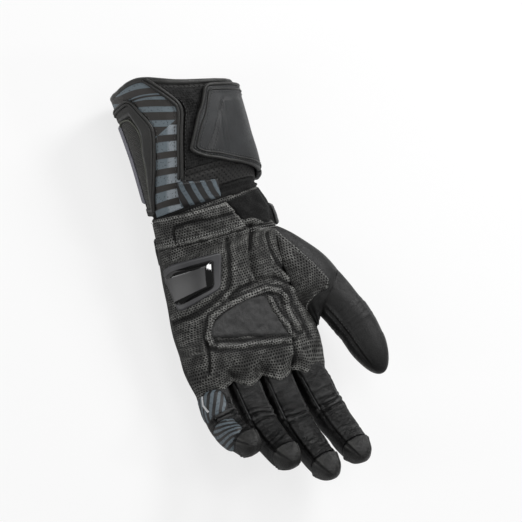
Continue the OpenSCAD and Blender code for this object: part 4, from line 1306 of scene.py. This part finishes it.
piece = skin("wrist_strap_loops", 40, 14,
             lambda u, v: arm_point(lerp(74.5, 91.5, v), lerp(-84, -150, u),
                                    1.2 + turned_in(u, v, 50, 17, 0.7, 1.5)),
             loop_field, thick=0.7)
settle(piece, "hand", "fastener", "strap_loop")

# ---------------------------------------------------------------- back of the hand
# The back is smooth leather with puffed ribs over foam behind the knuckles and a moulded guard
# across them. The guard's crown is what the glove rests on when it lies on its back.
def back_spot(u, v):
    y, t, d, lean = hand_spot(u, v, -1)
    return y, t, d + ripple(u * 8, v * 8 + 30, 0.6) - 1.2 * (1 - smooth(u * 30)), lean, lean


piece = arm_skin("back_leather", 130, 120, back_spot, black_hide, thick=1.7)
piece.data.flip_normals()
settle(piece, "hand", "smooth_leather", "back_panel")


def ribs(name, grid, wide, tall, rise, over, waves, places):
    """Puffed pads on the back: their plan size, rise, ease at the edge, and places with a seed each."""
    pads = []
    for x0, y0, seed in places:
        def rib_place(u, v):
            edge = rim_gap(u, v, wide, tall)
            u, v = rounded_corner(u, v, wide, tall, 3.5)
            uneven = ripple(seed + u * waves[0], v * waves[1], 0.35)
            p = on_plan(x0 + wide * u, y0 + tall * v, uneven - 0.6 + rise * puff(edge, over), -1)
            p.z = max(p.z, 0.05)
            return p

        pads.append(skin("rib", *grid, rib_place, satin_hide, flip=True))
    return join(pads, name)


piece = ribs("back_ribs", (18, 44), 13, 40.5, 3.6, 4.5, (1, 7), [(x, 21.5, x) for x in (-33, -15, 3, 21)])
settle(piece, "hand", "smooth_leather", "back_pads")
piece = ribs("cuff_back_ribs", (48, 16), 46, 12, 6.5, 4.0, (5, 1), [(-19, y, y) for y in (121, 136, 151)])
settle(piece, "cuff", "smooth_leather", "cuff_pads")
sewn = [[on_plan(x, lerp(20, 63.5, k / 44), 0.35, -1) for k in range(45)]
        for x in (-35, -17.6, -16.4, 0.4, 1.6, 18.4, 19.6, 36)]
sewn += [[on_plan(lerp(-35, 36, k / 70), y, 0.35, -1) for k in range(71)] for y in (19.0, 64.5, 66.0)]
piece = stitches("back_stitching", sewn, thread, pitch=2.4, length=1.4)
settle(piece, "hand", "smooth_leather")
sewn = [[on_plan(lerp(-21, 29, k / 50), y, 0.35, -1) for k in range(51)]
        for y in (118.5, 134.0, 135.2, 149.0, 150.2, 165.5)]
piece = stitches("cuff_back_stitching", sewn, thread, pitch=2.4, length=1.4)
settle(piece, "cuff", "smooth_leather")
foam_rim = hide("foam_rim", (0.02, 0.02, 0.02), gloss=0.6, grain=1600.0)[0]
guard_w, guard_l = 82, 31


def guard_place(u, v, grow, low, high, floor_z):
    edge = rim_gap(u, v, guard_w, guard_l)
    uu, vv = rounded_corner(u, v, guard_w, guard_l, 9)
    x, y = 1 + (uu - 0.5) * (guard_w + grow), (vv - 0.5) * (guard_l + grow)
    p = on_plan(x, y, lerp(low, high, 1 - (1 - clamp(edge / 2.0)) ** 2), -1)
    crown = smooth(clamp(edge / 7.5))
    p.z = lerp(p.z, floor_z, crown) if floor_z is not None else p.z
    return p


piece = skin("knuckle_foam_rim", 60, 30, lambda u, v: guard_place(u, v, 3.0, -0.3, 2.6, None), foam_rim,
             flip=True)
settle(piece, "hand", "smooth_leather", "knuckle_foam")
piece = skin("knuckle_guard_shell", 96, 48, lambda u, v: guard_place(u, v, 0.0, 2.8, 5.4, 0.0),
             gloss_shell, flip=True,
             crest=lambda u, v: smooth((rim_gap(u, v, guard_w, guard_l) - 5.5) / 1.5))
settle(piece, "hand", "slider_plastic", "knuckle_guard")

# ---------------------------------------------------------------- fingers
# Each finger is a sleeve of soft leather, sewn along four seams, with elastic pleats over its
# middle joint and a separate cap over its tip. Its cap is fixed to its tip and its knuckle plate to its
# base; the sleeves stay where they are made.
finger_n = 2.5
# Pale grey leather for the seam cords, whose light colour is a painted glint.
painted_glint_hide = hide("painted_glint_hide", (0.07, 0.073, 0.075), gloss=0.3)[0]
cap_hide = hide("cap_hide", (0.008, 0.008, 0.008), gloss=0.30, shine=0.3, grain=1300.0, depth=0.8,
                rubbed=(0.09, 0.09, 0.085))[0]
soft_hide = hide("soft_hide", (0.0055, 0.0055, 0.0055), gloss=0.31, grain=1150.0, depth=0.9,
                 rubbed=(0.04, 0.04, 0.04), shine=0.24)[0]


def limb(points, halves, hint, before):
    """The middle line of a digit with its corners eased. Gives place, side, palm and half width at s,
    which is 0 at the root joint, and the lengths to its joints."""
    first = (points[0] - points[1]).normalized() * before
    line = evened(rounded([points[0] + first] + points, 3), 0.5)
    runs = [0.0]
    for p, q in zip(points, points[1:]):
        runs.append(runs[-1] + (q - p).length)
    total = 0.5 * (len(line) - 1)
    stretch = (runs[-1] + before) / total

    def at(s):
        k = clamp((s + before) / stretch / 0.5, 0, len(line) - 1.001)
        i = int(k)
        p = line[i].lerp(line[i + 1], k - i)
        ahead, behind = line[min(i + 6, len(line) - 1)], line[max(i - 6, 0)]
        way = (ahead - behind).normalized()
        palm = (hint - way * hint.dot(way)).normalized()
        half = halves[0]
        for k in range(3):
            if runs[k] <= s:
                half = lerp(halves[k], halves[k + 1], clamp((s - runs[k]) / (runs[k + 1] - runs[k])))
        return p, palm.cross(way), palm, half

    return at, runs


def round_limb(at, s, t, d, scale=1.0, depth=0.98):
    p, side, palm, half = at(s)
    turn = math.radians(t)
    return (p + side * ((half + d) * signed_pow(math.cos(turn), 2 / finger_n) * scale)
            + palm * ((half * depth + d) * signed_pow(math.sin(turn), 2 / finger_n) * scale))


def seam_dent(t):
    """The dent of the four seams, with the turned-in leather standing up on both sides."""
    away = min(abs((t - seam_t + 180) % 360 - 180) for seam_t in (42, 138, 222, 318))
    return -0.9 * swell(away, 4.5) + 0.45 * swell(away - 10, 5)


def creased(s, t, runs, seed):
    """Pleats and creases of a bent sleeve, strongest on the palm side of its joints."""
    front = clamp(0.2 + 0.9 * sin_deg(t))
    near_middle = swell(s - runs[1] + 3, 6.5)
    near_end = swell(s - runs[2], 5.0)
    near_root = swell(s - 9, 5.0)
    c, d = cos_deg(t), sin_deg(t)
    wander = 4.5 * waver(c * 0.9, s / 16, seed) + 1.2 * waver(c * 2.5, s / 6, seed + 2)
    pleats = math.cos(math.tau * (s + wander) / 4.6)
    pleats = 1 - 2 * (0.5 - 0.5 * pleats) ** 2.2
    folds = waver(c * 1.1, s / 3.4, seed + 4) + 0.6 * waver(c * 2.2, s / 1.9, seed + 6)
    soft = waver(c * 1.4, d * 1.4, s / 13 + seed)
    return (front * (0.7 * near_middle + 0.15 * near_end) * pleats
            + front * folds * (0.25 + 0.7 * near_middle + 0.6 * near_root + 0.3 * near_end) + 0.7 * soft)


def tip_dome(k, power=2.1):
    return (1 - clamp(k) ** power) ** (1 / power)


def across_joint(inner, outer, joint, way):
    """The two bodies on each side of a joint, and the points 5 mm to both sides of it along the way."""
    way = way.normalized()
    return inner, outer, joint - way * 5, joint + way * 5


digits = {
    "index": ([(36.29, -31.29, 23), (38.85, -60.57, 27.65), (39.89, -80.41, 39.60),
               (39.59, -97.92, 56.51)], 23.0, 1.0),
    "middle": ([(11.69, -27.60, 23), (11.69, -59.55, 28.06), (12.45, -81.36, 40.66),
                (13.48, -100.99, 58.36)], 23.0, 5.0),
    "ring": ([(-12.45, -23.98, 23), (-12.94, -51.91, 28.43), (-12.63, -69.39, 42.08),
              (-12.15, -83.06, 60.92)], 22.08, 9.0),
    "little": ([(-35.44, -20.53, 23), (-38.22, -43.17, 29.11), (-36.51, -55.36, 42.78),
                (-35.14, -63.09, 60.43)], 20.7, 13.0),
}
lines = {}
for finger, (points, wide, seed) in digits.items():
    points = [Vector(p) for p in points]
    at, runs = limb(points, [wide * 0.5, wide * 0.485, wide * 0.45, wide * 0.41], Vector((0, 0, 1)), 16)
    lines[finger] = at, runs, points
    root_bend = across_joint("hand", finger + "_base", points[0], points[1] - points[0])
    middle_bend = across_joint(finger + "_base", finger + "_tip", points[1], points[2] - points[0])
    split, cap_at = runs[1] * 0.5, runs[2] + 0.4 * (runs[3] - runs[2])

    def sleeve(u, v, low, high):
        s, t = lerp(low, high, v), 360 * u
        return round_limb(at, s, t, seam_dent(t) + creased(s, t, runs, seed))

    # The crest of the sleeves: the pleat ridges are paler, partly rubbed wear and partly painted
    # highlight, and the folds and seam dents are painted in shade.
    def shine(u, v, low, high):
        return clamp(0.1 + 1.1 * creased(lerp(low, high, v), 360 * u, runs, seed)
                     + 0.9 * seam_dent(360 * u), -1, 1)

    piece = skin(finger + "_root_sleeve", 72, 70, lambda u, v: sleeve(u, v, -15, split), soft_hide,
                 closed=True, crest=lambda u, v: shine(u, v, -15, split))
    settle(piece, root_bend, "smooth_leather", finger + "_root", finger + "_base")
    piece = skin(finger + "_middle_sleeve", 72, 110, lambda u, v: sleeve(u, v, split, cap_at), soft_hide,
                 closed=True, crest=lambda u, v: shine(u, v, split, cap_at))
    settle(piece, middle_bend, "smooth_leather", finger + "_stretch", finger + "_tip")

    def cap(u, v):
        t, reach = 360 * u, 0.95 * (runs[3] - cap_at)
        k = math.sin(0.5 * math.pi * v)
        s = cap_at + reach * k
        edge = 0.35 * swell(v - 0.1, 0.07) - 0.8 * swell(v, 0.035)
        pinch = 1.1 * seam_dent(t) * (1 - v) ** 0.6 * smooth(v * 9)
        fold = 0.45 * waver(cos_deg(t) * 2.2, sin_deg(t) * 2.2, v * 2.2 + seed)
        return round_limb(at, s, t, 0.3 + edge + pinch + fold, max(tip_dome(k), 0.001))

    # The cap's crest: rubbed paler on the whole, and painted in shade at its seam with the sleeve and in
    # its seam dents.
    piece = skin(finger + "_tip_cap", 64, 40, cap, cap_hide, closed=True,
                 crest=lambda u, v: clamp(0.3 - swell(v, 0.05) + 0.9 * seam_dent(360 * u) * (1 - v),
                                          -1, 1))
    settle(piece, finger + "_tip", "smooth_leather", finger + "_cap")

    def plate(u, v):
        edge = rim_gap(u, v, 14, 18)
        uu, vv = rounded_corner(u, v, 14, 18, 5)
        return round_limb(at, lerp(0.28, 0.78, vv) * runs[1], lerp(236, 304, uu),
                          -0.3 + 2.0 * puff(edge, 2.5))

    piece = skin(finger + "_knuckle_plate", 22, 26, plate, gloss_shell)
    settle(piece, finger + "_base", "slider_plastic", finger + "_plate")
    # Pale cords along the two palm-side seams, coloured as a painted glint on them.
    glints = [[round_limb(at, s, t, -0.25) for s in [lerp(1, runs[1] - 2, k / 60) for k in range(61)]]
              for t in (42, 138)]
    piece = join([strand("glint", path, 0.4, painted_glint_hide, sides=6) for path in glints],
                 finger + "_seam_piping_painted_glint")
    settle(piece, root_bend, "smooth_leather")

# ---------------------------------------------------------------- little finger guard
# The outer side of the little finger carries striped pads that match the cuff, one below the
# middle joint and one above it.
lower_stripes = small_stripes("lower_stripes", 0.0052, 0.5, -0.5, "Y")
upper_stripes = small_stripes("upper_stripes", 0.0044, 0.5, 0.7, "X")
at, runs, points = lines["little"]


def side_pad(u, v, low, high, wide):
    edge = rim_gap(u, v, wide, 16)
    uu, vv = rounded_corner(u, v, wide, 16, 5.5)
    return round_limb(at, lerp(low, high, vv), lerp(76, 214, uu),
                      -0.4 + 1.8 * puff(edge, 2.6) + ripple(u * 4, v * 4, 0.4))


piece = skin("little_lower_pad", 40, 34, lambda u, v: side_pad(u, v, 0.5, runs[1] - 3.0, 27),
             lower_stripes)
settle(piece, "little_base", "striped_leather", "little_pad")
piece = skin("little_upper_pad", 40, 34, lambda u, v: side_pad(u, v, runs[1] + 1.5, runs[2] + 5.0, 26),
             upper_stripes)
settle(piece, "little_tip", "striped_leather")
mirror_strip, tree, shader = principled("mirror_strip")
beads = node(tree, "TexVoronoi", {"Vector": pattern(tree), "Scale": 2600.0})
tint = blend(tree, beads.outputs["Distance"], (0.8, 0.81, 0.82), (0.32, 0.33, 0.34))
feed(tree, shader, {"Base Color": tint, "Roughness": 0.3})
piece = skin("little_reflector", 24, 12,
             lambda u, v: round_limb(at, lerp(2.5, 14.5, u), lerp(160, 170, v) - 26 * abs(u - 0.45),
                                     1.75), mirror_strip)
settle(piece, "little_base", "striped_leather")

# ---------------------------------------------------------------- thumb
# The thumb is set into an oval hole in the side of the hand: a web of smooth leather opens into
# the sleeve, and the grip leather of the palm runs on over its palm side to a point.
thumb_points = [Vector(p) for p in ((60, 40, 26), (76.97, -5.97, 32.98), (79.67, -23.49, 36.13),
                                    (81.18, -48.14, 41.16))]
thumb_palm = Vector((-0.3, 0, 0.95)).normalized()
thumb_at, thumb_runs = limb(thumb_points, [15.08, 14.5, 13.34, 10.44], thumb_palm, 4)
ring_s, ring_slant = thumb_runs[1] - 24, -0.55


def thumb_place(s, t, d, scale=1.0):
    return round_limb(thumb_at, s, t, d, scale, 0.96)


def ring_start(t):
    """Where the slanted ring at the foot of the thumb lies along it."""
    return ring_s + ring_slant * thumb_at(ring_s)[3] * cos_deg(t)


def web_place(phi, v, d):
    rim = arm_point(hole_y + (hole_l + 1) * cos_deg(phi), (hole_t + 1.5) * sin_deg(phi), -0.6)
    end = thumb_place(ring_start(phi), phi, 0.0)
    core = Vector((50, 38, 27)).lerp(thumb_at(ring_s)[0], v)
    p = rim.lerp(end, smooth(v) * 0.35 + v * 0.65)
    out = (p - core).normalized()
    return p + out * ((3.2 + 2.2 * max(0.0, cos_deg(phi))) * math.sin(math.pi * v) + d)


def web_skin(u, v):
    phi = 360 * u
    crotch = swell((phi - 165 + 180) % 360 - 180, 38)
    fold = math.cos(math.tau * (v * 3.6 + 0.25 * waver(phi / 30, v * 4, 2)))
    return web_place(phi, v, crotch * (0.9 * fold) * math.sin(math.pi * v)
                     + ripple(u * 9, v * 3 + 50, 0.8)
                     + 0.5 * waver(phi / 14, v * 5, 8) * (0.4 + crotch))


web_bend = ("hand", "thumb_base", Vector((52, 38, 27)), Vector((60, 38, 27)))
matte_hide = hide("matte_hide", (0.007, 0.007, 0.007), gloss=0.40, shine=0.3, grain=1700.0, depth=0.45,
                  rubbed=(0.06, 0.06, 0.06))[0]
piece = skin("thumb_web", 110, 44, web_skin, matte_hide, closed=True,
             crest=lambda u, v: 0.5 * swell((360 * u - 165 + 180) % 360 - 180, 38))
settle(piece, web_bend, "smooth_leather", "thumb_root")


def grip_turn(u, v):
    return lerp(lerp(26, 76, v), lerp(142, 88, v), u)


def web_grip(u, v):
    return web_place(grip_turn(u, v), 0.88 * v, 0.9 + turned_in(u, v, 48 - 30 * v, 30, 1.1, 2.0)
                     + ripple(u * 5, v * 4 + 70, 0.9)
                     - 0.8 * math.exp(-((u - 0.42) * 14) ** 2) * (1 - v))


piece = skin("thumb_web_grip", 70, 50, web_grip, palm_grip,
             crest=lambda u, v: 0.5 * swell(min(u, 1 - u) * 50 - 1.5, 1.2))
settle(piece, web_bend, "textured_leather")
web_rows = [[web_place(grip_turn(u, v), 0.88 * v, 1.05) for u, v in path]
            for path in ([(0.05, k / 40) for k in range(41)], [(0.05 + 0.06, k / 40) for k in range(38)],
                         [(k / 20, 0.95) for k in range(1, 20)], [(0.94, k / 40) for k in range(30)])]
piece = stitches("thumb_web_stitching", web_rows, pale_thread, pitch=2.0, length=1.15, thick=0.5)
settle(piece, web_bend, "textured_leather")
cap_from = thumb_runs[2] + 1.0


def thumb_dent(t):
    away = min(abs((t - seam_t + 180) % 360 - 180) for seam_t in (127, 222, 318))
    return -0.9 * swell(away, 4.0) + 0.5 * swell(away - 9, 4.5)


def thumb_sleeve(u, v):
    t = 360 * u
    s = lerp(ring_start(t), cap_from, v)
    soft = waver(cos_deg(t) * 1.5, sin_deg(t) * 1.5, s / 12)
    folds = waver(cos_deg(t) * 0.8, s / 3, 3.0) * swell(s - thumb_runs[1], 8)
    return thumb_place(s, t, smooth(v * 6) * thumb_dent(t) + 0.6 * soft + 0.7 * folds)


# The crest paints shade into the seam dents and makes the leather beside them look rubbed.
piece = skin("thumb_sleeve", 80, 100, thumb_sleeve, matte_hide, closed=True,
             crest=lambda u, v: clamp(thumb_dent(360 * u) + 0.5 * ripple(u * 6, v * 5, 1.0), -1, 1))
thumb_bend = across_joint("thumb_base", "thumb_tip", thumb_points[1], thumb_points[2] - thumb_points[0])
settle(piece, thumb_bend, "smooth_leather", "thumb_base", "thumb_stretch", "thumb_tip")


def thumb_cap(u, v):
    t, reach = 360 * u, thumb_runs[3] - cap_from
    k = math.sin(0.5 * math.pi * v)
    return thumb_place(cap_from + reach * k, t, thumb_dent(t) * (1 - v) + 0.3 * ripple(u * 6, v * 3, 1.0),
                       max(tip_dome(k, 2.1), 0.001))


# Shade is painted into the seam dents of the cap, fading towards its end.
piece = skin("thumb_tip_cap", 80, 40, thumb_cap, matte_hide, closed=True,
             crest=lambda u, v: clamp(thumb_dent(360 * u) * (1 - v), -1, 1))
settle(piece, "thumb_tip", "smooth_leather", "thumb_cap")
piece = stitches("thumb_stitching",
                 [[thumb_place(lerp(ring_s + 8, cap_from, k / 50), t, 0.55) for k in range(51)]
                  for t in (119, 135)], thread, pitch=2.4, length=1.4, thick=0.4)
settle(piece, thumb_bend, "smooth_leather")
